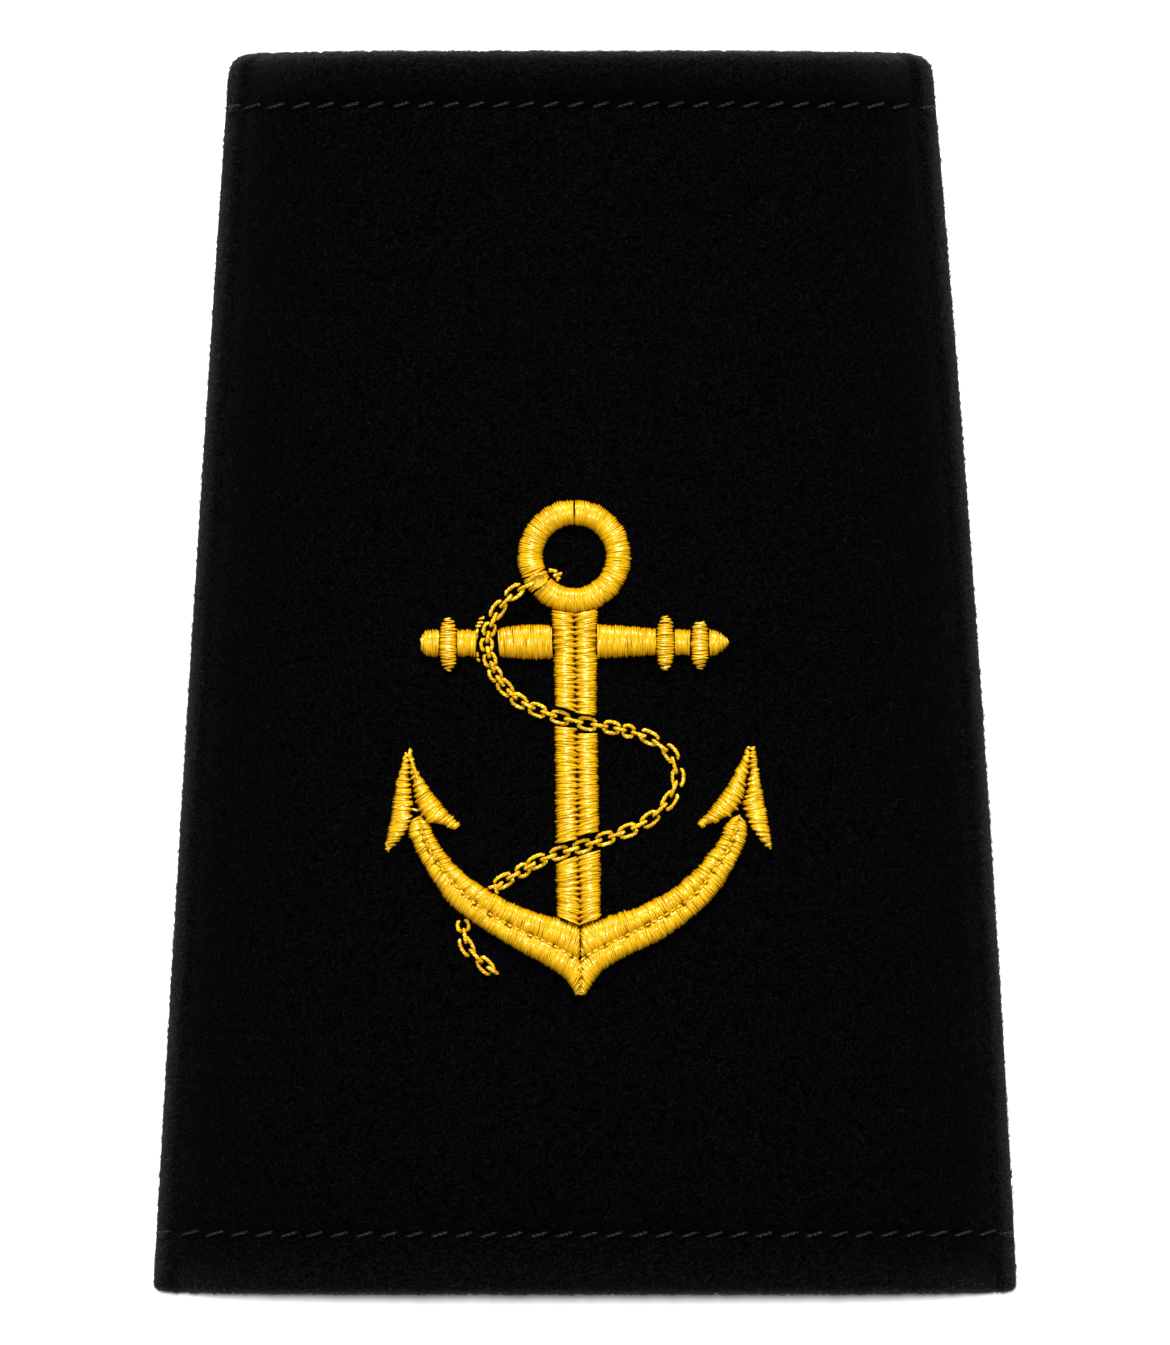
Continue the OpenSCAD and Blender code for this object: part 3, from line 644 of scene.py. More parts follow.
# %% Shape one thread
def thread_form(rings, sides):
    """A tube with its ends closed: ring and angle of each point, faces, and UV of each corner."""
    bm = bmesh.new()
    bmesh.ops.create_cone(bm, cap_ends=True, segments=sides, radius1=1, radius2=1, depth=1)
    long_edges = [e for e in bm.edges if abs(e.verts[0].co.z - e.verts[1].co.z) > 0.5]
    bmesh.ops.subdivide_edges(bm, edges=long_edges, cuts=rings - 2, use_grid_fill=True)
    bmesh.ops.recalc_face_normals(bm, faces=bm.faces)
    bm.verts.index_update()
    share = np.array([v.co.z + 0.5 for v in bm.verts])
    angle = np.array([math.atan2(v.co.y, v.co.x) for v in bm.verts])
    faces = [[v.index for v in f.verts] for f in bm.faces]
    corners = []
    for face in faces:
        turns = [angle[v] / (2 * math.pi) for v in face]
        wraps = max(turns) - min(turns) > 0.5
        corners += [(share[v], turn + 1 if wraps and turn < 0 else turn) for v, turn in zip(face, turns)]
    bm.free()
    return np.rint(share * (rings - 1)).astype(int), angle, faces, np.array(corners)


print("a thread of 12 rings with 6 sides has", len(thread_form(12, 6)[2]), "faces")

# %% Lay threads along paths
CHANCE_SEED = 7
# Each thread starts somewhere on this length of its map, in millimetres
MAP_LENGTH = 50
# A path whose side is shorter than this goes straight up, so its side is taken along x
UPRIGHT = 1e-6
chance = np.random.default_rng(CHANCE_SEED)


def directions(paths):
    """Unit vectors to the side of each path and upwards from it, at each of its points."""
    forward = np.gradient(paths, axis=1)
    forward /= np.linalg.norm(forward, axis=2, keepdims=True)
    side = np.cross(forward, [0.0, 0.0, 1.0])
    length = np.linalg.norm(side, axis=2, keepdims=True)
    side = np.where(length > UPRIGHT, side / np.maximum(length, UPRIGHT), [1.0, 0.0, 0.0])
    return side, np.cross(side, forward)


def path_lengths(paths):
    """Distance along each path at each of its points."""
    steps = np.linalg.norm(np.diff(paths, axis=1), axis=2)
    return np.concatenate([np.zeros((len(paths), 1)), np.cumsum(steps, axis=1)], axis=1)


def tubes(name, centres, across, up, sides, shades):
    """A mesh of closed tubes with given centres and half axes; shades has a row for each tube."""
    count, rings = centres.shape[:2]
    ring, angle, faces, corners = thread_form(rings, sides)
    points = (centres[:, ring] + across[:, ring] * np.cos(angle)[None, :, None]
              + up[:, ring] * np.sin(angle)[None, :, None])
    mesh = bpy.data.meshes.new(name)
    shifted = [[v + thread * len(ring) for v in face] for thread in range(count) for face in faces]
    mesh.from_pydata(points.reshape(-1, 3).tolist(), [], shifted)
    lengths = path_lengths(centres)[:, -1]
    start = chance.uniform(0, MAP_LENGTH, (count, 1))
    uv = np.stack([start + corners[:, 0] * lengths[:, None], np.tile(corners[:, 1], (count, 1))], axis=2)
    mesh.uv_layers.new(name="thread").uv.foreach_set("vector", uv.astype(np.float32).ravel())
    if (np.cross(across, up) * np.gradient(centres, axis=1)).sum() < 0:
        mesh.flip_normals()
    shade = mesh.attributes.new("shade", "FLOAT", "POINT")
    shades = np.broadcast_to(shades, (count, rings))[:, ring]
    shade.data.foreach_set("value", shades.astype(np.float32).ravel())
    return mesh


def joined(name, meshes):
    """Several meshes as one, each with a material slot of its own in their order."""
    bm = bmesh.new()
    for slot, mesh in enumerate(meshes):
        first = len(bm.faces)
        bm.from_mesh(mesh)
        bm.faces.ensure_lookup_table()
        for face in bm.faces[first:]:
            face.material_index = slot
        bpy.data.meshes.remove(mesh)
    result = bpy.data.meshes.new(name)
    bm.to_mesh(result)
    bm.free()
    return result


print("random numbers start from seed", CHANCE_SEED)

# %% [markdown]
# ## Gold rayon thread
#
# Machine embroidery thread is viscose rayon: smooth, bright filaments with a dyed, deep
# yellow body and a silky, nearly white shine. Between the threads the light passes from gold
# to gold and comes out orange, and this is painted in: each thread's colour is mixed between
# a darker orange gold and a brighter one, darker towards the edges of its column as painted
# shade, with a random tone of its own. Fine filaments run along it as streaks. Its two plies
# are wound round each other, so its shine breaks into a row of long slanted glints: a sine
# that runs along and round the thread at once gives their rounded form.

# %% Rayon
FILAMENT_MM = 0.03
FILAMENT_LENGTH_MM = 0.7
# The way round a thread, on which each period of the noise draws a light filament and a dark one
ROUND_MM = 0.6
# The values of that noise which are spread over the shades, and how far they reach
STREAK_FROM, STREAK_TO = 0.3, 0.7
STREAK_SPREAD = 0.25
STREAK_RELIEF = 0.25
# Length of one turn of the plies, and how far they stand out, in millimetres
RAYON_PLIES = [1.3, 0.045]


def ply_relief(tree, uv, twist, height):
    """Bump of two plies wound round each other; twist is the length of one turn, both in millimetres."""
    round_and_along = add_node(tree, "ShaderNodeVectorMath", {
        0: uv.outputs[0], 1: (2 * math.pi / twist, 4 * math.pi, 0.0)}, operation="DOT_PRODUCT")
    plies = add_node(tree, "ShaderNodeMath", {0: round_and_along.outputs["Value"]}, operation="SINE")
    return add_node(tree, "ShaderNodeBump", {
        "Height": plies.outputs[0], "Distance": height / 2 * MM, "Strength": 1.0})


def rayon_thread(name, dark, bright, roughness):
    """Twisted filament thread with a silky shine."""
    material, tree = new_material(name)
    uv = add_node(tree, "ShaderNodeUVMap", uv_map="thread")
    streaks = add_node(tree, "ShaderNodeMapping", {
        "Vector": uv.outputs[0], "Scale": (1 / FILAMENT_LENGTH_MM, ROUND_MM / FILAMENT_MM / 2, 1.0)})
    filaments = add_node(tree, "ShaderNodeTexNoise", {
        "Vector": streaks.outputs[0], "Scale": 1.0, "Detail": 3.0})
    shade = add_node(tree, "ShaderNodeAttribute", attribute_name="shade")
    spread = add_node(tree, "ShaderNodeMapRange", {
        "Value": filaments.outputs[0], "From Min": STREAK_FROM, "From Max": STREAK_TO,
        "To Min": -STREAK_SPREAD, "To Max": STREAK_SPREAD})
    mixed = add_node(tree, "ShaderNodeMath", {
        0: shade.outputs["Fac"], 1: spread.outputs[0]}, operation="ADD", use_clamp=True)
    colour = add_node(tree, "ShaderNodeMix", {
        "Factor": mixed.outputs[0], "A": linear(dark), "B": linear(bright)}, data_type="RGBA")
    rounded = ply_relief(tree, uv, *RAYON_PLIES)
    bump = add_node(tree, "ShaderNodeBump", {
        "Height": filaments.outputs[0], "Normal": rounded.outputs[0], "Distance": FILAMENT_MM * MM,
        "Strength": STREAK_RELIEF})
    shader = add_node(tree, "ShaderNodeBsdfPrincipled", {
        "Base Color": colour.outputs["Result"], "Normal": bump.outputs[0], "Roughness": roughness,
        "Specular IOR Level": 0.84, "Specular Tint": linear("#ffe5bc")})
    add_node(tree, "ShaderNodeOutputMaterial", {"Surface": shader.outputs[0]})
    return material


gold_rayon = rayon_thread("gold_rayon_thread", "#a66300", "#caa000", 0.24)
# The underlay is a darker copy of the same gold, which paints the shade in the gaps between the threads
# where it shows
shaded_gold_underlay = rayon_thread("shaded_gold_underlay_thread", "#a66300", "#bc8800", 0.6)
print("gold thread and its underlay are ready")

# %% [markdown]
# ## Satin stitch
#
# A satin column is stitched to and fro between its two edges over a padding of plain
# stitches, so it stands up in a smooth dome. The tables below are the digitizer's: each row
# is one guide stitch with its two ends, and the threads between two guides are worked out.
# The thread runs to and fro, so two neighbours share each needle hole, and the edge has
# fine saw teeth. The threads that run back are pressed a little lower between the others.
#
# Where two columns lie side by side, both go into one line of needle holes. The
# threads stay up there and turn down only at the hole, so the two columns meet with hardly
# a crease. The needle has torn some of these holes wide, most of all on the shank and the
# flukes. The threads stop short round them, so each shows as a black dot. The shank has such
# dots on its outer edges as well, between the two bars of the stock.

# %% Guide stitches
# Each row: x and y of the first end, x and y of the second end
COLUMNS = {
    "shank_top_left": [[-2.42, 4.54, -0.78, 4.21], [-2.20, 0.00, -0.68, 0.00],
                       [-2.15, -2.42, -0.64, -2.82]],
    "shank_top_right": [[-0.78, 4.21, 0.88, 4.54], [-0.68, 0.00, 0.84, 0.00],
                        [-0.64, -2.92, 0.84, -3.06]],
    "shank_middle_left": [[-2.16, -3.88, -0.64, -4.10], [-2.10, -8.00, -0.56, -8.00],
                          [-2.08, -12.38, -0.50, -11.98]],
    "shank_middle_right": [[-0.64, -4.42, 0.88, -4.46], [-0.56, -8.00, 0.94, -8.00],
                           [-0.50, -11.84, 1.00, -11.46]],
    "shank_foot_left": [[-2.06, -13.88, -0.48, -13.30], [-2.03, -16.00, -0.42, -16.20],
                        [-2.03, -17.61, -0.37, -18.28]],
    "shank_foot_right": [[-0.48, -13.36, 1.10, -12.90], [-0.42, -16.20, 1.09, -16.00],
                         [-0.37, -18.28, 1.09, -17.68]],
    "stock_left_tip": [[-11.90, 1.75, -11.90, 2.45], [-11.62, 1.35, -11.62, 2.86],
                       [-11.20, 1.18, -11.20, 3.06], [-10.62, 1.18, -10.62, 3.06]],
    "stock_left_collar": [[-10.08, 3.96, -9.72, 3.96], [-10.36, 3.55, -9.40, 3.55],
                          [-10.50, 2.90, -9.32, 2.90], [-10.50, 1.20, -9.32, 1.20],
                          [-10.36, 0.55, -9.40, 0.55], [-10.05, 0.12, -9.72, 0.12]],
    "stock_left_neck": [[-9.20, 1.18, -9.20, 3.08], [-7.95, 1.20, -7.95, 3.04]],
    "stock_left_bar": [[-6.15, 1.15, -6.28, 3.10], [-5.80, 1.10, -5.90, 3.20], [-2.33, 1.06, -2.42, 3.32]],
    "stock_right_bar": [[0.91, 1.05, 0.94, 3.45], [3.00, 1.15, 3.00, 3.34], [5.06, 1.28, 5.06, 3.16]],
    "stock_right_inner_collar": [[5.60, 4.10, 6.02, 4.10], [5.34, 3.62, 6.28, 3.62],
                                 [5.18, 3.00, 6.42, 3.00], [5.18, 1.30, 6.42, 1.30],
                                 [5.34, 0.62, 6.28, 0.62], [5.62, 0.20, 6.00, 0.20]],
    "stock_right_neck": [[6.54, 1.25, 6.54, 3.12], [7.58, 1.28, 7.58, 3.08]],
    "stock_right_outer_collar": [[8.00, 3.70, 8.62, 3.70], [7.80, 3.30, 8.84, 3.30],
                                 [7.72, 2.80, 8.92, 2.80], [7.72, 1.30, 8.92, 1.30],
                                 [7.86, 0.62, 8.76, 0.62], [8.14, 0.24, 8.56, 0.24]],
    "stock_right_tip": [[9.04, 1.20, 9.04, 3.05], [9.60, 1.36, 9.60, 2.96],
                        [10.05, 1.70, 10.05, 2.64], [10.38, 2.02, 10.38, 2.30]],
    "arm_left_upper": [[-12.03, -10.45, -11.82, -10.50], [-11.95, -11.05, -11.30, -11.00],
                       [-11.65, -12.00, -10.95, -11.85], [-11.25, -12.85, -10.45, -12.65],
                       [-10.70, -13.75, -9.85, -13.45], [-10.00, -14.70, -9.10, -14.25],
                       [-9.15, -15.65, -8.25, -14.95], [-8.15, -16.55, -7.35, -15.55],
                       [-7.00, -17.40, -6.30, -16.15], [-5.70, -18.15, -5.10, -16.80],
                       [-4.30, -18.85, -3.75, -17.35], [-3.00, -19.40, -2.55, -17.68],
                       [-1.95, -19.92, -1.40, -18.00], [-1.20, -20.35, -0.42, -18.55],
                       [-0.80, -20.60, -0.42, -19.60], [-0.55, -20.78, -0.42, -20.50]],
    "arm_left_lower": [[-12.56, -10.70, -12.03, -10.45], [-12.78, -11.35, -11.95, -11.05],
                       [-12.40, -12.40, -11.65, -12.00], [-11.95, -13.40, -11.25, -12.85],
                       [-11.35, -14.45, -10.70, -13.75], [-10.65, -15.55, -10.00, -14.70],
                       [-9.80, -16.70, -9.15, -15.65], [-8.80, -17.55, -8.15, -16.55],
                       [-7.55, -18.40, -7.00, -17.40], [-6.15, -19.30, -5.70, -18.15],
                       [-4.80, -20.10, -4.30, -18.85], [-3.55, -20.80, -3.00, -19.40],
                       [-2.50, -21.40, -1.95, -19.92], [-1.80, -21.86, -1.20, -20.35],
                       [-1.30, -22.32, -0.42, -20.95], [-0.95, -22.80, -0.42, -21.95],
                       [-0.62, -23.35, -0.42, -23.00]],
    "arm_right_upper": [[10.75, -10.55, 11.15, -10.35], [10.25, -10.95, 11.02, -11.00],
                        [9.95, -11.75, 10.75, -11.95], [9.40, -12.60, 10.30, -12.95],
                        [8.75, -13.40, 9.65, -13.85], [8.00, -14.30, 8.95, -14.90],
                        [7.20, -15.00, 8.15, -15.85], [6.20, -15.80, 7.00, -16.80],
                        [5.00, -16.42, 5.65, -17.65], [3.60, -17.10, 4.20, -18.42],
                        [2.30, -17.50, 2.85, -19.08], [1.20, -17.86, 1.70, -19.65],
                        [-0.26, -18.50, 0.80, -20.10], [-0.26, -19.50, 0.20, -20.42],
                        [-0.26, -20.40, -0.10, -20.60]],
    "arm_right_lower": [[11.15, -10.35, 11.60, -10.85], [11.02, -11.00, 11.70, -11.40],
                        [10.75, -11.95, 11.52, -12.35], [10.30, -12.95, 11.05, -13.40],
                        [9.65, -13.85, 10.45, -14.55], [8.95, -14.90, 9.75, -15.65],
                        [8.15, -15.85, 8.85, -16.70], [7.00, -16.80, 7.60, -17.80],
                        [5.65, -17.65, 6.15, -18.90], [4.20, -18.42, 4.65, -19.75],
                        [2.85, -19.08, 3.20, -20.40], [1.70, -19.65, 2.00, -21.05],
                        [0.80, -20.10, 1.20, -21.60], [-0.26, -20.95, 0.72, -22.20],
                        [-0.26, -21.90, 0.35, -22.75], [-0.26, -23.05, 0.00, -23.35]],
    "fluke_left_outer": [[-13.06, -5.85, -12.82, -5.80], [-13.30, -6.85, -12.78, -6.80],
                         [-13.56, -7.80, -12.72, -7.75], [-13.75, -8.85, -12.64, -8.80],
                         [-13.92, -9.85, -12.52, -9.75], [-14.10, -10.85, -12.64, -10.65],
                         [-14.22, -11.55, -13.00, -11.45], [-14.35, -12.20, -13.50, -12.15],
                         [-14.42, -12.85, -14.05, -12.80]],
    "fluke_left_inner": [[-12.72, -5.68, -12.60, -5.60], [-12.60, -7.00, -12.28, -6.80],
                         [-12.50, -7.80, -11.92, -7.45], [-12.34, -8.55, -11.52, -8.10],
                         [-12.20, -9.44, -11.08, -8.72], [-11.86, -10.34, -10.60, -9.30],
                         [-11.22, -10.86, -10.10, -9.92], [-10.30, -11.06, -9.55, -10.52],
                         [-9.36, -11.30, -9.06, -11.02]],
    "fluke_right_inner": [[11.74, -5.40, 11.88, -5.46], [11.42, -6.25, 11.86, -6.50],
                          [11.06, -6.95, 11.74, -7.45], [10.64, -7.72, 11.54, -8.40],
                          [10.15, -8.48, 11.30, -9.28], [9.65, -9.20, 10.90, -10.06],
                          [9.15, -9.85, 10.20, -10.50], [8.60, -10.45, 9.30, -10.88],
                          [8.10, -10.95, 8.45, -11.18]],
    "fluke_right_outer": [[12.02, -5.42, 12.22, -5.40], [12.00, -6.40, 12.40, -6.40],
                          [11.90, -7.50, 12.58, -7.40], [11.74, -8.55, 12.78, -8.40],
                          [11.50, -9.55, 12.98, -9.40], [11.72, -10.40, 13.15, -10.40],
                          [12.05, -11.10, 13.28, -11.25], [12.68, -12.00, 13.40, -12.00],
                          [13.15, -12.60, 13.48, -12.60]],
}
print(len(COLUMNS), "satin columns,", sum(len(rows) for rows in COLUMNS.values()), "guide stitches")

# %% Follow the guides
# A ray is sent down on the cloth from this height
RAY_TOP = 30.0


def cloth_under(points):
    """Height of the front cloth under each of some places."""
    flat = points.reshape(-1, points.shape[-1])
    down = Vector((0, 0, -1))
    hits = [front_tree.ray_cast(Vector((x, y, RAY_TOP)), down)[0].z for x, y in flat[:, :2]]
    return np.array(hits).reshape(points.shape[:-1])


def middle_steps(table):
    """Distance along the middle of a column at each of its guide stitches."""
    middles = (table[:, :2] + table[:, 2:]) / 2
    return np.append(0, np.cumsum(np.linalg.norm(np.diff(middles, axis=0), axis=1)))


def between_guides(rows, places):
    """The guide stitch at each place along a column, on smooth lines through the ends of its rows."""
    table = np.array(rows, float)
    steps = middle_steps(table)
    order = 2 if len(table) > 2 else 1
    slopes = np.gradient(table, steps, axis=0, edge_order=order)
    at = places * steps[-1]
    span = np.clip(np.searchsorted(steps, at) - 1, 0, len(steps) - 2)
    width = (steps[span + 1] - steps[span])[:, None]
    t = (at - steps[span])[:, None] / width
    return ((2 * t**3 - 3 * t**2 + 1) * table[span] + (t**3 - 2 * t**2 + t) * width * slopes[span]
            + (3 * t**2 - 2 * t**3) * table[span + 1] + (t**3 - t**2) * width * slopes[span + 1])


def column_length(rows):
    """Length of a column along its middle."""
    return middle_steps(np.array(rows, float))[-1]


print("the columns are", round(sum(column_length(rows) for rows in COLUMNS.values())), "mm long in all")

# %% The dome of a column
# Height of the column, distance between needle holes, radius of the thread, power of the dome
SATIN = [0.85, 0.18, 0.102, 2.4]
COLLAR = [0.90, 0.20, 0.078, 3.6]
# A column narrower than this is lower, down to this share of its height
FULL_WIDTH = 1.12
LEAST_HEIGHT = 0.3
DIVE_POWER = 24


def dome(share, power):
    """Height of a satin column across it, from 0 at its edges to 1."""
    return np.maximum(1 - np.abs(2 * share - 1) ** power, 0) ** (1 / power)


def rise_across(share, power, shared_side, seam):
    """Height across a column, which stays up at a shared line of holes until the thread dives."""
    if shared_side is None:
        return dome(share, power)
    _, _, spanned, dive = seam
    span = share * spanned if shared_side else 1 - (1 - share) * spanned
    return dome(span, power) * (1 - dive * np.abs(2 * share - 1) ** DIVE_POWER)


def height_at(width, height):
    """Height of a column's dome, which is lower where the column is narrow."""
    return height * np.minimum(1, LEAST_HEIGHT + (1 - LEAST_HEIGHT) * width / FULL_WIDTH)


print("a column half a millimetre wide is", round(float(height_at(0.5, SATIN[0])), 2), "mm high")

# %% Shape the threads over the dome
SEAT_GAP = 0.1
STITCH_RINGS = 12
STITCH_SIDES = 6
THREAD_END = 0.86
THREAD_FLAT = 0.78
TWIST_LENGTH = 1.7
# The turn that a thread starts with is drawn below this angle, a whole turn in radians
WHOLE_TURN = 6.28
RETURN_DROP = 0.015
# Tones of the thread's colour at the edges of the dome, where shade is painted, and on its top
SHADED_EDGE_TONE = 0.10
LIT_TOP_TONE = 0.73
# How far the threads differ: sideways, in height, in thickness and in shade
WANDER = 0.035
HEIGHT_SPREAD = 0.013
RADIUS_SPREAD = 0.045
SHADE_SPREAD = 0.07


def twisted(paths, radius):
    """Half axes of oval thread that turns as it goes along its paths."""
    side, up = directions(paths)
    turn = path_lengths(paths) * (2 * math.pi / TWIST_LENGTH)
    turn = turn + chance.uniform(0, WHOLE_TURN, (len(paths), 1))
    cosine, sine = np.cos(turn)[..., None], np.sin(turn)[..., None]
    return radius * (side * cosine + up * sine), radius * THREAD_FLAT * (up * cosine - side * sine)


def satin_threads(name, stitches, satin, shared_side=None, seam=None):
    """Threads over a dome, one for each stitch given by its two ends."""
    height, _, radius, power = satin
    count = len(stitches)
    way = stitches[:, 2:] - stitches[:, :2]
    width = np.linalg.norm(way, axis=1)
    share = 0.5 - 0.5 * np.cos(np.linspace(0, math.pi, STITCH_RINGS))
    flat = stitches[:, None, :2] + way[:, None] * share[None, :, None]
    aside = np.column_stack([-way[:, 1], way[:, 0]]) / width[:, None] * chance.normal(0, WANDER, (count, 1))
    flat += aside[:, None] * np.sin(math.pi * share)[None, :, None]
    returning = RETURN_DROP * (np.arange(count) % 2)
    tall = height_at(width, height) + SEAT_GAP - radius - returning + chance.normal(0, HEIGHT_SPREAD, count)
    lift = tall[:, None] * rise_across(share, power, shared_side, seam)[None, :]
    paths = np.concatenate([flat, (cloth_under(flat) + lift)[..., None]], axis=2)
    domed = dome(share, power)
    thick = radius * chance.normal(1, RADIUS_SPREAD, count)[:, None]
    thick = thick * (THREAD_END + (1 - THREAD_END) * domed)[None, :]
    across, up = twisted(paths, thick[..., None])
    # Painted shade: each thread's colour is a darker, more orange gold at the edges of the dome and a
    # brighter gold on its top, with a random tone of its own
    shades = SHADED_EDGE_TONE + (LIT_TOP_TONE - SHADED_EDGE_TONE) * domed + chance.normal(0, SHADE_SPREAD, (count, 1))
    return tubes(name, paths, across, up, STITCH_SIDES, np.clip(shades, 0, 1))


print("a satin thread is", 2 * SATIN[2], "mm thick, and two of them share a hole every", SATIN[1], "mm")

# %% Lay the padding
PADDING_SIDES = 14
PADDING_WIDTH = 0.92
PADDING_SINK = 0.02
PADDING_LEAST = 0.1
PADDING_SHADE = 0.5


def padding(name, rows, satin, places):
    """Padding under a satin column: one oval form along it, sunk a little into the cloth."""
    height, _, radius, _ = satin
    guides = between_guides(rows, places)
    middle = (guides[:, :2] + guides[:, 2:]) / 2
    half = (guides[:, 2:] - guides[:, :2]) / 2 * PADDING_WIDTH
    width = np.linalg.norm(guides[:, 2:] - guides[:, :2], axis=1)
    tall = np.maximum(height_at(width, height) - radius / 4, PADDING_LEAST)
    centres = np.column_stack([middle, cloth_under(middle) - PADDING_SINK])[None]
    across = np.column_stack([half, np.zeros(len(half))])[None]
    up = np.column_stack([np.zeros((len(tall), 2)), tall])[None]
    return tubes(name, centres, across, up, PADDING_SIDES, PADDING_SHADE)


print("the padding fills", PADDING_WIDTH, "of a column's width")

# %% Place the ends of the threads
HOLE_SHARE = 0.65
HOLE_LAP = 0.05
BULGE = 0.035
BULGE_SPREAD = 0.04
COLLAR_SPREAD = 0.07
# The shared line of needle holes is at the first end, 0, or the second end, 1, of the threads
SHARED_SIDES = {
    "shank_top_left": 1, "shank_top_right": 0, "shank_middle_left": 1, "shank_middle_right": 0,
    "shank_foot_left": 1, "shank_foot_right": 0, "fluke_left_outer": 1, "fluke_left_inner": 0,
    "fluke_right_inner": 1, "fluke_right_outer": 0, "arm_left_upper": 0, "arm_left_lower": 1,
    "arm_right_upper": 1, "arm_right_lower": 0,
}
# At the shared lines of each part: distance between torn holes, measured along the badge, and
# their radius, how much of the dome a thread spans, and how far it dives at the end
SEAMS = {
    "shank": [0.44, 0.125, 0.93, 0.60],
    "fluke": [0.44, 0.125, 0.93, 0.60],
    "arm": [0.76, 0.10, 0.90, 0.45],
}
# Torn holes where the stock meets the outer edges of the shank: distance apart, radius, and
# the lowest and the highest place
STOCK_HOLES = [0.50, 0.14, 1.15, 3.40]
# How much the torn holes differ in size, and how fast the size changes from one to the next
TORN_SPREAD = 0.25
TORN_STEP = 7.3


def to_and_fro(guides_at, holes):
    """Ends of threads that run to and fro, so that two of them share each needle hole."""
    thread = np.arange(2 * holes)
    own = (thread + 0.5) / len(thread)
    first = own + ((thread // 2 * 2 + 1) / len(thread) - own) * HOLE_SHARE
    second = own + ((thread + 1) // 2 * 2 / len(thread) - own) * HOLE_SHARE
    return np.hstack([guides_at(first)[:, :2], guides_at(second)[:, 2:]])


def torn_gaps(places, apart, torn):
    """How far the nearest torn hole pushes back a thread that ends at each place along a line."""
    hole = np.round(places / apart)
    torn_here = torn * (1 + TORN_SPREAD * np.sin(TORN_STEP * hole))
    return np.sqrt(np.maximum(torn_here**2 - (places - hole * apart) ** 2, 0))


def stitch_ends(rows, satin, shared_side, seam, by_stock):
    """Ends of the threads of a column, some of them short of the torn holes."""
    holes = max(2, round(column_length(rows) / satin[1]))
    spread = COLLAR_SPREAD if satin is COLLAR else 0
    ends = to_and_fro(lambda p: between_guides(rows, p + spread * np.sin(2 * math.pi * p)), holes)
    way = ends[:, 2:] - ends[:, :2]
    way = way / np.linalg.norm(way, axis=1, keepdims=True)
    past = chance.normal(-BULGE, BULGE_SPREAD, (2 * holes, 2))
    if shared_side is not None:
        gap = torn_gaps(ends[:, 2 * shared_side + 1], *seam[:2])
        past[:, shared_side] = np.where(gap > 0, -SATIN[2] / 2 - gap, HOLE_LAP)
    if by_stock:
        apart, torn, low, high = STOCK_HOLES
        level = ends[:, 3 - 2 * shared_side]
        gap = torn_gaps(level, apart, torn) * (level > low) * (level < high)
        past[:, 1 - shared_side] -= np.where(gap > 0, gap + SATIN[2], 0)
    return np.hstack([ends[:, :2] - way * past[:, :1], ends[:, 2:] + way * past[:, 1:]])


print("torn holes lie", SEAMS["shank"][0], "mm apart on the shank and", SEAMS["arm"][0], "mm on the arms")

# %% Stitch the columns
PADDING_STEP = 0.6
# How much of a column is bare of padding at each end
BARE_END = 0.03
BARE_COLLAR_END = 0.14


def satin_column(node):
    """The padding and threads of one satin column, in place of its plain solid."""
    rows = COLUMNS[node]
    collar = "collar" in node
    satin = COLLAR if collar else SATIN
    shared_side = SHARED_SIDES.get(node)
    seam = SEAMS.get(node.split("_")[0])
    steps = max(4, round(column_length(rows) / PADDING_STEP))
    bare = BARE_COLLAR_END if collar else BARE_END
    under = padding(node + "_padding", rows, satin, np.linspace(bare, 1 - bare, steps))
    ends = stitch_ends(rows, satin, shared_side, seam, "shank_top" in node)
    over = satin_threads(node + "_threads", ends, satin, shared_side, seam)
    mesh = joined(node + "_satin", [over, under])
    return finish_piece(node + "_satin", mesh, [gold_rayon, shaded_gold_underlay], "gold_thread", node)


stitched = [satin_column(node) for node in COLUMNS]
print(len(stitched), "columns with", sum(len(piece.data.polygons) for piece in stitched), "faces")

# %% [markdown]
# ## The ring
#
# The ring is one satin column bent into a circle, with its stitches set like spokes. Its
# guides come from a formula. The threads crowd together at the inner edge, as they do on
# the cloth, and open into saw teeth at the outer one. Three narrow slits part the ring: one
# at the top, where its stitching starts and ends, and one on each side of the chain.

# %% Stitch the ring
RING_X = -0.77
RING_Y = 8.39
RING_INNER = 2.28
RING_OUTER = 4.08
RING_HOLES = 134
# Columns: place of a slit round the ring and its half width between threads, in degrees
RING_SLITS = [[90.0, 1.5], [203.7, 2.1], [221.4, 2.1], [450.0, 1.5]]
RING_PADDING_STEP = 5
# How far the threads run past the inner and the outer edge of the ring: mean and spread
PAST_INNER = [-0.07, 0.03]
PAST_OUTER = [-0.05, 0.045]


def ring_guides(degrees):
    """Guide stitches like spokes at places round the ring."""
    turn = np.radians(degrees)
    spoke = np.column_stack([np.cos(turn), np.sin(turn)])
    centre = np.array([RING_X, RING_Y])
    return np.hstack([centre + spoke * RING_INNER, centre + spoke * RING_OUTER])


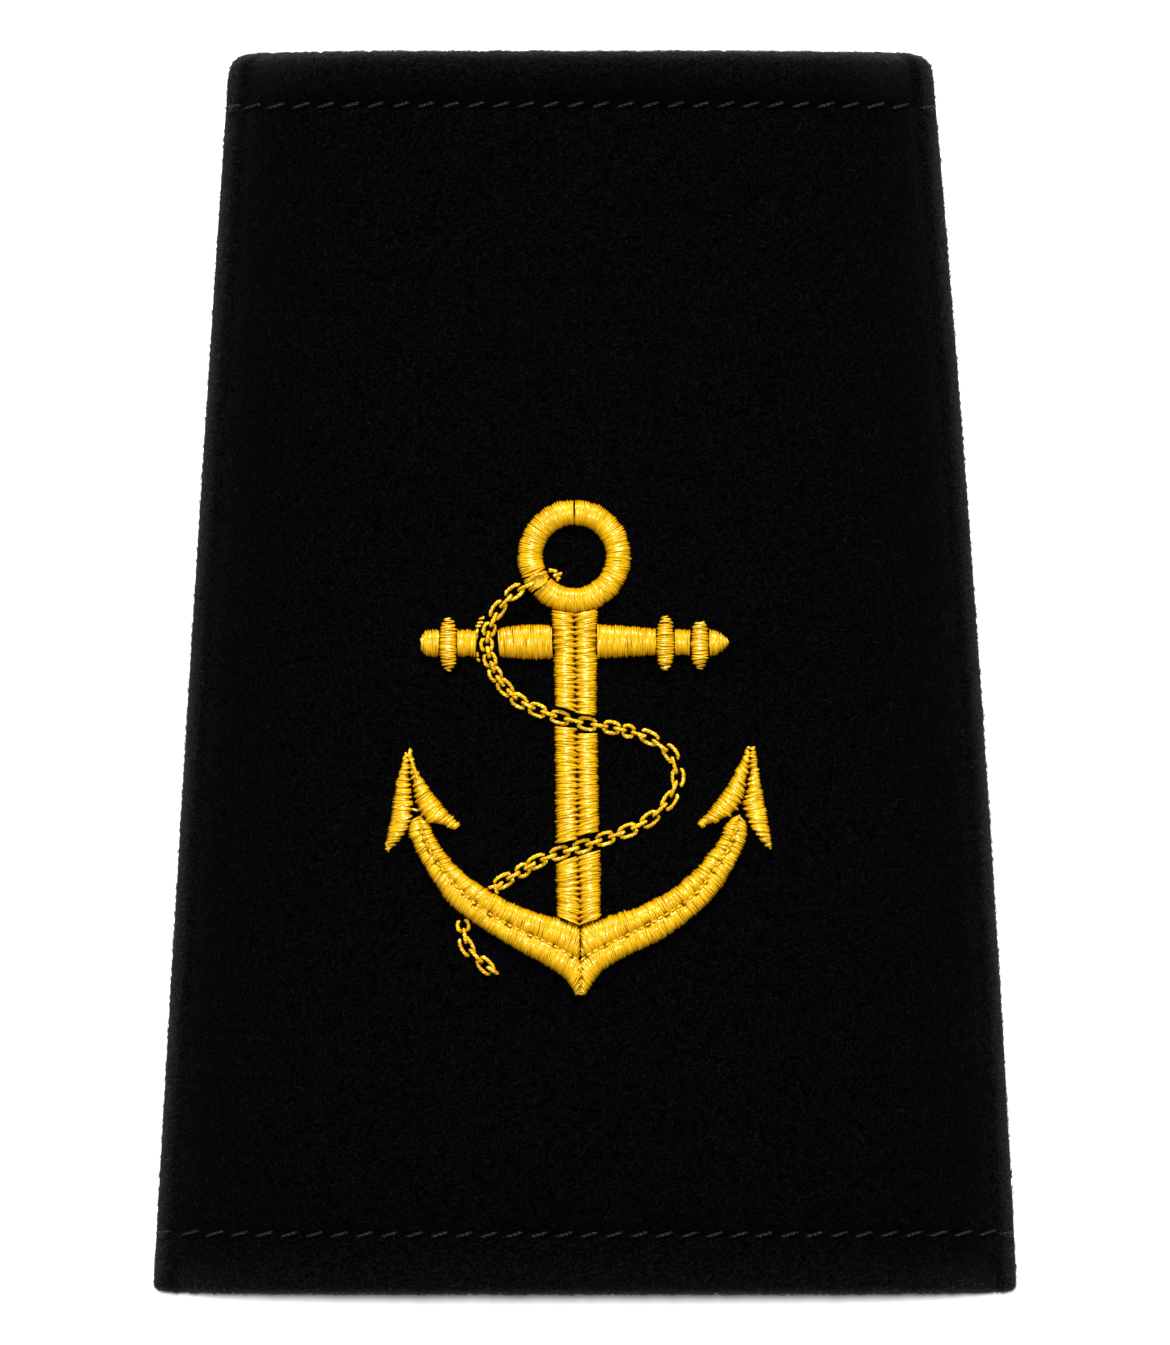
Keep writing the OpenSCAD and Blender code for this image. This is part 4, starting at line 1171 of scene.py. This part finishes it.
ring_ends, ring_paddings = [], []
for (before, half_before), (after, half_after) in zip(RING_SLITS[:-1], RING_SLITS[1:]):
    first, last = before + half_before, after - half_after
    holes = round((last - first) / 360 * RING_HOLES)
    ring_ends.append(to_and_fro(lambda places: ring_guides(first + (last - first) * places), holes))
    steps = max(5, round((last - first) / RING_PADDING_STEP))
    guides = ring_guides(np.linspace(first, last, steps))
    ring_paddings.append(padding("ring_padding", guides, SATIN, np.linspace(0, 1, len(guides))))
ring_ends = np.concatenate(ring_ends)
spokes = (ring_ends[:, 2:] - ring_ends[:, :2]) / (RING_OUTER - RING_INNER)
ring_ends[:, :2] -= spokes * chance.normal(*PAST_INNER, (len(ring_ends), 1))
ring_ends[:, 2:] += spokes * chance.normal(*PAST_OUTER, (len(ring_ends), 1))
ring_mesh = joined("anchor_ring_satin", [
    satin_threads("ring_threads", ring_ends, SATIN), joined("ring_underlay", ring_paddings)])
finish_piece("anchor_ring_satin", ring_mesh, [gold_rayon, shaded_gold_underlay], "gold_thread", "anchor_ring")
print("the ring has", len(ring_ends), "threads")

# %% [markdown]
# ## The chain
#
# The chain is drawn with single thick stitches. A link that lies flat is two curved strokes
# with the black cloth showing between them, and a link seen on its edge is one short
# straight stroke laid over the ends of its neighbours. Each stroke is a thread of two plies,
# so two strands are wound round the stitch's path. The chain starts in a hook on the
# ring's inner side and ends above the left arm in a small knot, and three more links hang
# below that arm.

# %% Wind two plies round a path
PLY_SIDES = 6
SWELL = 0.10
SWELL_LENGTH = 0.42
END_SIZE = 0.5
DARKEST_PLY = 0.5


def wound(name, paths, radius, offset, turn_length):
    """Threads of two plies each, wound round paths with as many points each."""
    side, up = directions(paths)
    lengths = path_lengths(paths)
    start = chance.uniform(0, WHOLE_TURN, (len(paths), 2))
    turn = lengths * (2 * math.pi / turn_length) + start[:, :1]
    swing = side * np.cos(turn)[..., None] + up * np.sin(turn)[..., None]
    strands = np.concatenate([paths + offset * swing, paths - offset * swing])
    across, high = directions(strands)
    swell = 1 + SWELL * np.sin(lengths * (2 * math.pi / SWELL_LENGTH) + start[:, 1:])
    swell[:, [0, -1]] *= END_SIZE
    thick = radius * np.concatenate([swell, swell])[..., None]
    shades = np.tile(chance.uniform(DARKEST_PLY, 1, (len(paths), 1)), (2, 1))
    return tubes(name, strands, across * thick, high * thick, PLY_SIDES, shades)


print("a ply swells by", SWELL, "of its thickness every", SWELL_LENGTH, "mm")

# %% Links and single stitches
LINK_WIDTH = 1.10
LINK_GROWTH = 0.16
LINK_WIRE = 0.30
EDGE_SHARE = 0.68
# Radius of a ply, its distance from the middle of the thread, and the length of one twist
LINK_PLIES = [0.110, 0.046, 0.55]
EDGE_PLIES = [0.112, 0.048, 0.55]
LINE_PLIES = [0.070, 0.038, 0.46]
ON_RING = SATIN[0] + SEAT_GAP
# Columns: x, y, length of the link, lift above the cloth
UPPER_LINKS = [
    [-2.10, 7.30, 0.90, 0], [-3.43, 6.64, 1.30, ON_RING], [-5.12, 5.81, 1.40, 0],
    [-6.30, 4.52, 1.45, 0], [-6.93, 3.12, 1.00, 0], [-7.12, 2.02, 0.95, 0],
    [-6.88, 0.92, 1.00, 0], [-6.50, -0.12, 1.00, 0], [-5.78, -1.10, 1.30, 0],
    [-4.78, -2.05, 1.25, 0], [-3.44, -2.72, 1.30, 0], [-1.79, -3.26, 1.45, 0],
    [0.16, -3.70, 1.40, 0], [1.92, -3.98, 1.25, 0], [3.14, -4.24, 0.90, 0],
    [4.64, -4.70, 1.45, 0], [6.20, -5.86, 1.40, 0], [6.73, -7.58, 1.35, 0],
    [6.12, -9.25, 1.45, 0], [4.70, -10.62, 1.45, 0], [3.11, -11.45, 1.40, 0],
    [1.46, -12.02, 1.35, 0], [-0.18, -12.58, 1.35, 0], [-1.82, -13.06, 1.40, 0],
    [-3.46, -13.68, 1.40, 0], [-4.50, -14.32, 1.00, 0], [-5.88, -15.08, 1.45, 0],
]
LOWER_LINKS = [[-8.82, -18.32, 0.90, 0], [-8.56, -19.82, 1.50, 0], [-7.20, -21.22, 1.45, 0]]
UPPER_END = [-6.50, -15.66]
LOWER_END = [-6.32, -21.78]
# Single stitches: x and y of both ends, and the lift of the first end and the second
HOOK = [[-2.60, 7.40, -2.06, 7.32, 0.10, 0.10], [-2.26, 6.96, -1.66, 7.18, 0.10, 0.10],
        [-2.03, 6.68, -1.87, 6.88, 0.05, 0.05]]
KNOT = [[-6.98, -15.58, -6.06, -15.40, 0.20, 0.34], [-6.56, -15.36, -6.34, -15.98, 0.34, 0.16]]
CROSSINGS = [[-7.64, 3.86, -7.30, 3.99, 0, 0], [-7.76, 3.56, -7.42, 3.66, 0, 0],
             [-7.88, 3.35, -7.54, 3.38, 0, 0], [-7.80, 3.12, -7.82, 2.78, 0, 0],
             [-7.82, 2.70, -7.86, 2.40, 0, 0], [-7.82, 1.44, -7.74, 1.16, 0, 0],
             [-7.80, 0.97, -7.64, 0.84, 0, 0]]
CROWN_TIP = [[-0.68, -22.66, -0.02, -22.66, 0.34, 0.34], [-0.68, -22.86, -0.02, -22.86, 0.32, 0.32],
             [-0.66, -23.06, -0.04, -23.06, 0.28, 0.28], [-0.62, -23.24, -0.08, -23.24, 0.20, 0.20]]
FLUKE_TIPS = [[-12.46, -9.90, -12.12, -9.98, 0.55, 0.55], [-12.74, -6.20, -12.66, -5.50, 0.30, 0.05],
              [-12.64, -6.20, -12.06, -7.80, 0.50, 0.62], [-14.36, -12.30, -14.20, -12.98, 0.35, 0.02],
              [13.30, -12.20, 13.44, -12.76, 0.30, 0.02]]
print("the chain has", len(UPPER_LINKS) + len(LOWER_LINKS), "links")

# %% Stitch the chain
STROKE_POINTS = 18
# The strokes of a flat link span these degrees of a half turn, and a power makes them squarer
STROKE_TURN = [8, 172]
SQUARED = 0.5
# Heights in millimetres: of a flat link above the cloth, and how far its ends dip
LINK_REST = 0.04
LINK_DIP = 0.16
# The same for a link on its edge and for a single stitch: at the ends, and the arch between
EDGE_REST, EDGE_ARCH = 0.22, 0.36
TIE_REST, TIE_ARCH = 0.10, 0.10


def link_ways(links):
    """The direction of the chain at each link."""
    table = np.array(links)[:, :2]
    way = np.vstack([table[1:], table[-1:]]) - np.vstack([table[:1], table[:-1]])
    return way / np.linalg.norm(way, axis=1, keepdims=True)


def flat_strokes(links):
    """The two curved strokes of each link that lies flat."""
    paths = []
    for (x, y, length, lift), way in zip(links, link_ways(links)):
        for side in (1, -1):
            turn = np.radians(np.linspace(*STROKE_TURN, STROKE_POINTS))
            ahead = np.cos(turn) * (length + LINK_GROWTH - LINK_WIRE) / 2
            aside = side * np.sin(turn) ** SQUARED * (LINK_WIDTH - LINK_WIRE) / 2
            path_x = x + way[0] * ahead - way[1] * aside
            path_y = y + way[1] * ahead + way[0] * aside
            level = cloth_under(np.array([[x, y]]))[0] + lift + LINK_WIRE / 2 + LINK_REST
            paths.append(np.column_stack([path_x, path_y, level - LINK_DIP * np.abs(np.cos(turn)) ** 4]))
    return paths


def edge_strokes(links, free_end):
    """The straight strokes over the ends of the flat links."""
    ends = list(zip(links[:-1], links[1:]))
    ends.append((links[-1], [*free_end, 0, 0]))
    paths = []
    for number, (first, second) in enumerate(ends):
        last = number == len(ends) - 1
        share = np.linspace((1 - EDGE_SHARE) / 2, 1.0 if last else (1 + EDGE_SHARE) / 2, STROKE_POINTS)
        flat = np.array(first[:2]) + (np.array(second[:2]) - np.array(first[:2])) * share[:, None]
        top = max(first[3], second[3])
        climb = np.interp(share, [0, 0.5, 1], [first[3], top, second[3]])
        arch = np.sin(np.linspace(0, math.pi, STROKE_POINTS)) ** SQUARED
        level = cloth_under(flat) + climb + EDGE_REST + EDGE_ARCH * arch
        paths.append(np.column_stack([flat, level]))
    return paths


def single_stitches(rows):
    """Short arched stitches from a table of their ends."""
    paths = []
    share = np.linspace(0, 1, STROKE_POINTS)
    for x, y, other_x, other_y, lift, other_lift in rows:
        flat = np.array([x, y]) + np.array([other_x - x, other_y - y]) * share[:, None]
        lifted = lift + (other_lift - lift) * share + TIE_REST + TIE_ARCH * np.sin(math.pi * share)
        paths.append(np.column_stack([flat, cloth_under(flat) + lifted]))
    return paths


flat_links = np.array(flat_strokes(UPPER_LINKS[1:]) + flat_strokes(LOWER_LINKS))
edge_links = np.array(edge_strokes(UPPER_LINKS[1:], UPPER_END) + edge_strokes(LOWER_LINKS, LOWER_END))
chain_mesh = joined("anchor_chain_threads", [
    wound("flat_links", flat_links, *LINK_PLIES), wound("edge_links", edge_links, *EDGE_PLIES),
    wound("hook_and_knot", np.array(single_stitches(HOOK + KNOT)), *LINK_PLIES)])
finish_piece("anchor_chain_threads", chain_mesh, [gold_rayon] * 3, "gold_thread", "anchor_chain")
print("the chain has", len(flat_links) + len(edge_links), "strokes")

# %% [markdown]
# ## The last gold stitches
#
# A line of small bright running stitches lies on the seam between the upper and the lower
# column of each arm and runs on down the point of the crown. A few more show where the chain
# crosses the stock, and at the tips of the flukes, where the machine tied off its thread.

# %% Stitch the lines on the arms
LINE_STITCH = 0.42
LINE_GAP = 0.11
LINE_LIFT = 0.69
LINE_ARCH = 0.12
LINE_START = 0.3
LINE_POINTS = 8


def running_stitches(corners):
    """Short stitches one after the other along a line of corners."""
    corners = np.array(corners)
    reach = np.append(0, np.cumsum(np.linalg.norm(np.diff(corners, axis=0), axis=1)))
    paths = []
    arch = LINE_ARCH * np.sin(np.linspace(0, math.pi, LINE_POINTS))
    for place in np.arange(LINE_START, reach[-1] - LINE_STITCH, LINE_STITCH + LINE_GAP):
        at = np.linspace(place, place + LINE_STITCH, LINE_POINTS)
        flat = np.column_stack([np.interp(at, reach, corners[:, k]) for k in (0, 1)])
        paths.append(np.column_stack([flat, cloth_under(flat) + LINE_LIFT + arch]))
    return paths


crown_point = [[-0.34, -20.90], [-0.34, -23.20]]
left_line = [row[:2] for row in COLUMNS["arm_left_upper"][1:-1]] + [crown_point[0]]
right_line = [row[2:] for row in COLUMNS["arm_right_upper"][1:-1]] + [crown_point[0]]
arm_lines = np.array(
    [path for line in (left_line, right_line, crown_point) for path in running_stitches(line)])
last_mesh = joined("last_gold_stitches", [
    wound("arm_lines", arm_lines, *LINE_PLIES),
    wound("tie_offs", np.array(single_stitches(CROSSINGS + CROWN_TIP + FLUKE_TIPS)), *LINE_PLIES)])
finish_piece("last_gold_stitches", last_mesh, [gold_rayon] * 2, "gold_thread")
print(len(arm_lines), "running stitches on the arms")

# %% [markdown]
# ## Black sewing thread
#
# The hems and sides are sewn with black polyester thread, which is smoother than the wool, so
# its stitches show as short grey glints in the dark line that they lie in.

# %% Sewing thread
# Length of one turn of the plies, and how far they stand out, in millimetres
SEWING_PLIES = [0.34, 0.06]
# How many times the fibres' shade changes in a millimetre along the thread and once round it
SEWING_STREAKS = (3.0, 8.0, 1.0)


def sewing_thread():
    """Two-ply polyester thread with a slight shine."""
    material, tree = new_material("black_polyester_thread")
    uv = add_node(tree, "ShaderNodeUVMap", uv_map="thread")
    streaks = add_node(tree, "ShaderNodeMapping", {"Vector": uv.outputs[0], "Scale": SEWING_STREAKS})
    spun = add_node(tree, "ShaderNodeTexNoise", {
        "Vector": streaks.outputs[0], "Scale": 1.0, "Detail": 3.0})
    colour = add_node(tree, "ShaderNodeMix", {
        "Factor": spun.outputs[0], "A": linear("#040405"), "B": linear("#1e1f22")}, data_type="RGBA")
    relief = ply_relief(tree, uv, *SEWING_PLIES)
    shader = add_node(tree, "ShaderNodeBsdfPrincipled", {
        "Base Color": colour.outputs["Result"], "Normal": relief.outputs[0], "Roughness": 0.36,
        "Specular IOR Level": 0.12})
    add_node(tree, "ShaderNodeOutputMaterial", {"Surface": shader.outputs[0]})
    return material


black_thread = sewing_thread()
print("sewing thread is ready")

# %% One stitch through cloth
SEW_POINTS = 14
SEW_DEPTH = 0.30
SEW_DIVE = 5
# The thread is too stiff for small dents, so it follows the mean height of this many points
SEW_MEAN = 5
RAY_BOTTOM = -5.0


def sewn_path(tree, start, finish, above, rise):
    """The path of one stitch that lies on a cloth, with both its ends in the needle holes."""
    share = np.linspace(0, 1, SEW_POINTS)
    flat = np.array(start) + (np.array(finish) - np.array(start)) * share[:, None]
    origin, way = (RAY_TOP, -1) if above else (RAY_BOTTOM, 1)
    heights = np.array([tree.ray_cast(Vector((x, y, origin)), Vector((0, 0, way)))[0].z for x, y in flat])
    padded = np.pad(heights, SEW_MEAN // 2, mode="edge")
    level = np.convolve(padded, np.ones(SEW_MEAN) / SEW_MEAN, mode="valid")
    arch = np.minimum(1, SEW_DIVE * np.minimum(share, 1 - share))
    offset = -SEW_DEPTH + (SEW_DEPTH + rise) * np.sin(arch * math.pi / 2)
    return np.column_stack([flat, level - way * offset])


print("a sewn stitch goes", SEW_DEPTH, "mm into the cloth at its ends")

# %% Sew the hems and the sides
HEM_STITCH = 1.34
HEM_SLANT = 0.20
SEAM_LINE = 1.35
SEAM_START, SEAM_END = 2.2, 1.2
# Columns: inset from the side, height as a share of the rim, slant along the badge
EDGE_STITCH = [[1.15, 0.92, -0.10], [0.85, 1.12, -0.08], [0.45, 1.10, -0.03], [0.12, 0.90, 0.02],
               [0.02, 0.55, 0.06], [0.06, 0.20, 0.08], [0.40, -0.10, 0.10]]


def hem_stitches(tree, above, rise):
    """Stitches along both hem lines of one cloth."""
    paths = []
    for line, phase in HEM_LINES.items():
        holes = hole_places(line, phase)
        for left, right in zip(holes[:-1], holes[1:]):
            middle = (left + right) / 2
            paths.append(sewn_path(tree, (middle - HEM_STITCH / 2, line - HEM_SLANT),
                                   (middle + HEM_STITCH / 2, line + HEM_SLANT), above, rise))
    return paths


def edge_stitches():
    """The last stitch of each hem line, which goes over the rim to the back."""
    rim = np.array(EDGE_STITCH)
    share = np.linspace(0, len(rim) - 1, SEW_POINTS)
    inset, height, step = [np.interp(share, range(len(rim)), rim[:, k]) for k in range(3)]
    level = FRONT_BASE + RIM_HEIGHT * LEAST_RIM * height
    paths = []
    for line in HEM_LINES:
        for side in (-1, 1):
            x = middle_x(line) + side * (float(half_width(line)) - inset)
            paths.append(np.column_stack([x, line + side * step, level]))
    return paths


def side_stitches(tree, above, rise):
    """Stitches along both side seams of one cloth."""
    paths = []
    places = np.arange(-LENGTH / 2 + SEAM_END, LENGTH / 2 - SEAM_START, STITCH_PITCH)
    for side in (-1, 1):
        for low in places:
            start, finish = [(middle_x(y) + side * (float(half_width(y)) - SEAM_LINE), y)
                             for y in (low, low + HEM_STITCH)]
            paths.append(sewn_path(tree, start, finish, above, rise))
    return paths


print("a hem stitch is", HEM_STITCH, "mm long, and the next starts", STITCH_PITCH, "mm on")

# %% Lay the sewing thread
# Radius of a ply, its distance from the middle of the thread, and the length of one twist
SEW_PLIES = [0.072, 0.05, 0.7]
# How far the thread stands above the cloth, or is pulled into it where the number is negative
HEM_RISE = 0.13
SIDE_RISE = -0.17
BACK_RISE = -0.04
front_paths = np.array(hem_stitches(front_tree, True, HEM_RISE) + edge_stitches()
                       + side_stitches(front_tree, True, SIDE_RISE))
back_paths = np.array(hem_stitches(back_tree, False, BACK_RISE)
                      + side_stitches(back_tree, False, BACK_RISE))
front_sewing = wound("front_sewing", front_paths, *SEW_PLIES)
# The back is seldom seen, so its paths keep every second point
back_sewing = wound("back_sewing", back_paths[:, ::2], *SEW_PLIES)
front_stitching = finish_piece("front_sewing", front_sewing, [black_thread], "black_thread")
back_stitching = finish_piece("back_sewing", back_sewing, [black_thread], "black_thread")
print(len(front_paths), "stitches on the front,", len(back_paths), "on the back")

# %% [markdown]
# ## Loose fibres
#
# Wool never ends in a clean line. Along the rims and hems, short fibres stand out from the
# nap and blur the outline, and a few longer ones lie curled on the face. These are real
# fibres and not a picture of some, so that they still stand out when the badge is turned.
# Roots are drawn at random on the faces of the finished front, more of them where it turns
# away from above. A fibre that stands free passes light, so this light is painted into its
# colour as a dark grey, paler on the fibres of the outline than on those lying on the face.

# %% Loose wool
def free_wool():
    """Single wool fibres, each of a random grey that paints the light passing through it."""
    material, tree = new_material("loose_wool_fibre")
    shade = add_node(tree, "ShaderNodeAttribute", attribute_name="shade")
    # Painted light: the paler greys stand for the light that passes through a free fibre
    colour = add_node(tree, "ShaderNodeMix", {
        "Factor": shade.outputs["Fac"], "A": linear("#050505"), "B": linear("#2a2928")}, data_type="RGBA")
    shader = add_node(tree, "ShaderNodeBsdfPrincipled", {
        "Base Color": colour.outputs["Result"], "Roughness": 0.6, "Specular IOR Level": 0.1})
    add_node(tree, "ShaderNodeOutputMaterial", {"Surface": shader.outputs[0]})
    return material


wool_fibre = free_wool()
print("loose wool is ready")

# %% Choose the roots of the fibres
ROOT_SPREAD = 0.08
# The outline is where the cloth leans this much to the side or to the end, this near to the
# edge, and does not turn under; it has the more fibres the less it looks up
LEAN_SIDEWAYS, LEAN_ENDWAYS = 0.25, 0.3
OUTLINE_REACH = 0.9
TURNED_UNDER = -0.3
UP_LIMIT, UP_POWER = 1.1, 1.5
# The face is where the cloth looks up this much, above this height
LOOKS_UP = 0.7
FACE_ABOVE = FRONT_BASE + 1.2


def fibre_roots(count, wanted):
    """Random places on the front cloth, with the normals there; wanted gives each face its weight."""
    faces = front_cloth.data.polygons
    area, centre, normal = np.empty(len(faces)), np.empty(len(faces) * 3), np.empty(len(faces) * 3)
    faces.foreach_get("area", area)
    faces.foreach_get("center", centre)
    faces.foreach_get("normal", normal)
    centre, normal = centre.reshape(-1, 3) / MM, normal.reshape(-1, 3)
    weight = area * wanted(centre, normal)
    chosen = chance.choice(len(faces), count, p=weight / weight.sum())
    spread = chance.normal(0, ROOT_SPREAD, (count, 3)) * (1 - np.abs(normal[chosen]))
    return centre[chosen] + spread, normal[chosen]


def on_outline(centre, normal):
    """Weight of the faces that turn away from above, on the outside of the cloth."""
    sideways = normal[:, 0] * np.sign(centre[:, 0] - middle_x(centre[:, 1]))
    endways = normal[:, 1] * np.sign(centre[:, 1])
    near_edge = np.minimum(*insets(centre[:, 0], centre[:, 1])) < OUTLINE_REACH
    outside = ((sideways > LEAN_SIDEWAYS) | (endways > LEAN_ENDWAYS)) & near_edge
    return outside * (normal[:, 2] > TURNED_UNDER) * (UP_LIMIT - normal[:, 2]) ** UP_POWER


def on_face(centre, normal):
    """Weight of the faces that look up."""
    return (normal[:, 2] > LOOKS_UP) * (centre[:, 2] > FACE_ABOVE)


print("fibres of the outline grow within", OUTLINE_REACH, "mm of the edge")

# %% Grow the loose fibres
FIBRE_SIDES = 3
# Thickness of a fibre at each of its points, as a share of its radius
FIBRE_TAPER = [1.0, 0.8, 0.4]
FIBRE_BEND = 0.5
FIBRE_DROOP = 0.4
ROOT_DEPTH = 0.02
# Number of fibres, the shortest and the longest, how steeply they leave the cloth from 0 to 1,
# their radius, and the shade of the palest, a grey painted for the light that the fibres pass
OUTLINE_FIBRES = [11500, 0.12, 0.42, 0.40, 0.020, 1.0]
FACE_FIBRES = [2600, 0.25, 0.8, 0.12, 0.014, 0.32]


def loose_fibres(name, wanted, kind):
    """A piece of curled fibres that grow where they are wanted on the front cloth."""
    count, shortest, longest, stand, radius, palest_lit_grey = kind
    roots, normals = fibre_roots(count, wanted)
    reach = chance.uniform(shortest, longest, count)[:, None, None]
    lay = chance.normal(0, 1, (count, 3))
    lay -= normals * (lay * normals).sum(axis=1, keepdims=True)
    lay /= np.linalg.norm(lay, axis=1, keepdims=True)
    way = normals * stand + lay * (1 - stand)
    way /= np.linalg.norm(way, axis=1, keepdims=True)
    bend = np.cross(normals, way) * chance.normal(0, FIBRE_BEND, (count, 1)) - normals * stand * FIBRE_DROOP
    t = np.linspace(0, 1, len(FIBRE_TAPER))[None, :, None]
    base = roots[:, None] - normals[:, None] * ROOT_DEPTH
    paths = base + reach * (way[:, None] * t + bend[:, None] * t**2)
    side, up = directions(paths)
    thick = radius * np.array(FIBRE_TAPER)[None, :, None]
    # Each fibre takes a random grey up to the palest, painted for the light that it passes
    mesh = tubes(name, paths, side * thick, up * thick, FIBRE_SIDES, palest_lit_grey * chance.random((count, 1)))
    return finish_piece(name, mesh, [wool_fibre], "black_wool")


for fibres in (loose_fibres("outline_fibres", on_outline, OUTLINE_FIBRES),
               loose_fibres("face_fibres", on_face, FACE_FIBRES)):
    print(fibres.name, "has", len(fibres.data.polygons), "faces")

# %% [markdown]
# ## Two sheets of cloth
#
# The front and the back are two sheets, cut to the badge's size with what is turned in at the
# hems and sewn in at the sides.

# %% [markdown]
# ## Floor and light
#
# The badge lies on a white table. A small soft light hangs almost straight above it and gives
# the thread its glints. A large one stands beyond its narrow end, high enough for a shadow
# that only just shows below the wide end, and a white sky lights the rest, as a light tent
# does.

# %% Set the stage
FLOOR_SIZE = 3.0
SKY_STRENGTH = 0.26
floor_form = bmesh.new()
bmesh.ops.create_grid(floor_form, x_segments=1, y_segments=1, size=FLOOR_SIZE)
floor_mesh = bpy.data.meshes.new("floor")
floor_form.to_mesh(floor_mesh)
floor_form.free()
floor = bpy.data.objects.new("floor", floor_mesh)
bpy.context.scene.collection.objects.link(floor)
floor_paint, floor_tree = new_material("white_paper")
paper = add_node(floor_tree, "ShaderNodeBsdfDiffuse", {"Color": linear("#f4f4f4")})
add_node(floor_tree, "ShaderNodeOutputMaterial", {"Surface": paper.outputs[0]})
floor_mesh.materials.append(floor_paint)

sky = bpy.data.worlds.new("light_tent")
sky.use_nodes = True
sky.node_tree.nodes.clear()
glow = add_node(sky.node_tree, "ShaderNodeBackground", {
    "Color": (1, 1, 1, 1), "Strength": SKY_STRENGTH})
add_node(sky.node_tree, "ShaderNodeOutputWorld", {"Surface": glow.outputs[0]})
bpy.context.scene.world = sky


def soft_light(name, place, size, power):
    """A square soft light at a place in metres, turned towards the badge."""
    data = bpy.data.lights.new(name, "AREA")
    data.size = size
    data.energy = power
    light = bpy.data.objects.new(name, data)
    light.location = place
    light.rotation_euler = Vector(place).to_track_quat("Z", "Y").to_euler()
    bpy.context.scene.collection.objects.link(light)


soft_light("key_light", place=(-0.02, 0.06, 1.10), size=0.12, power=12.5)
soft_light("top_light", place=(0.0, 1.15, 0.84), size=0.50, power=40.0)
bpy.context.scene.view_settings.view_transform = "Standard"
print("floor, sky and two lights are set")
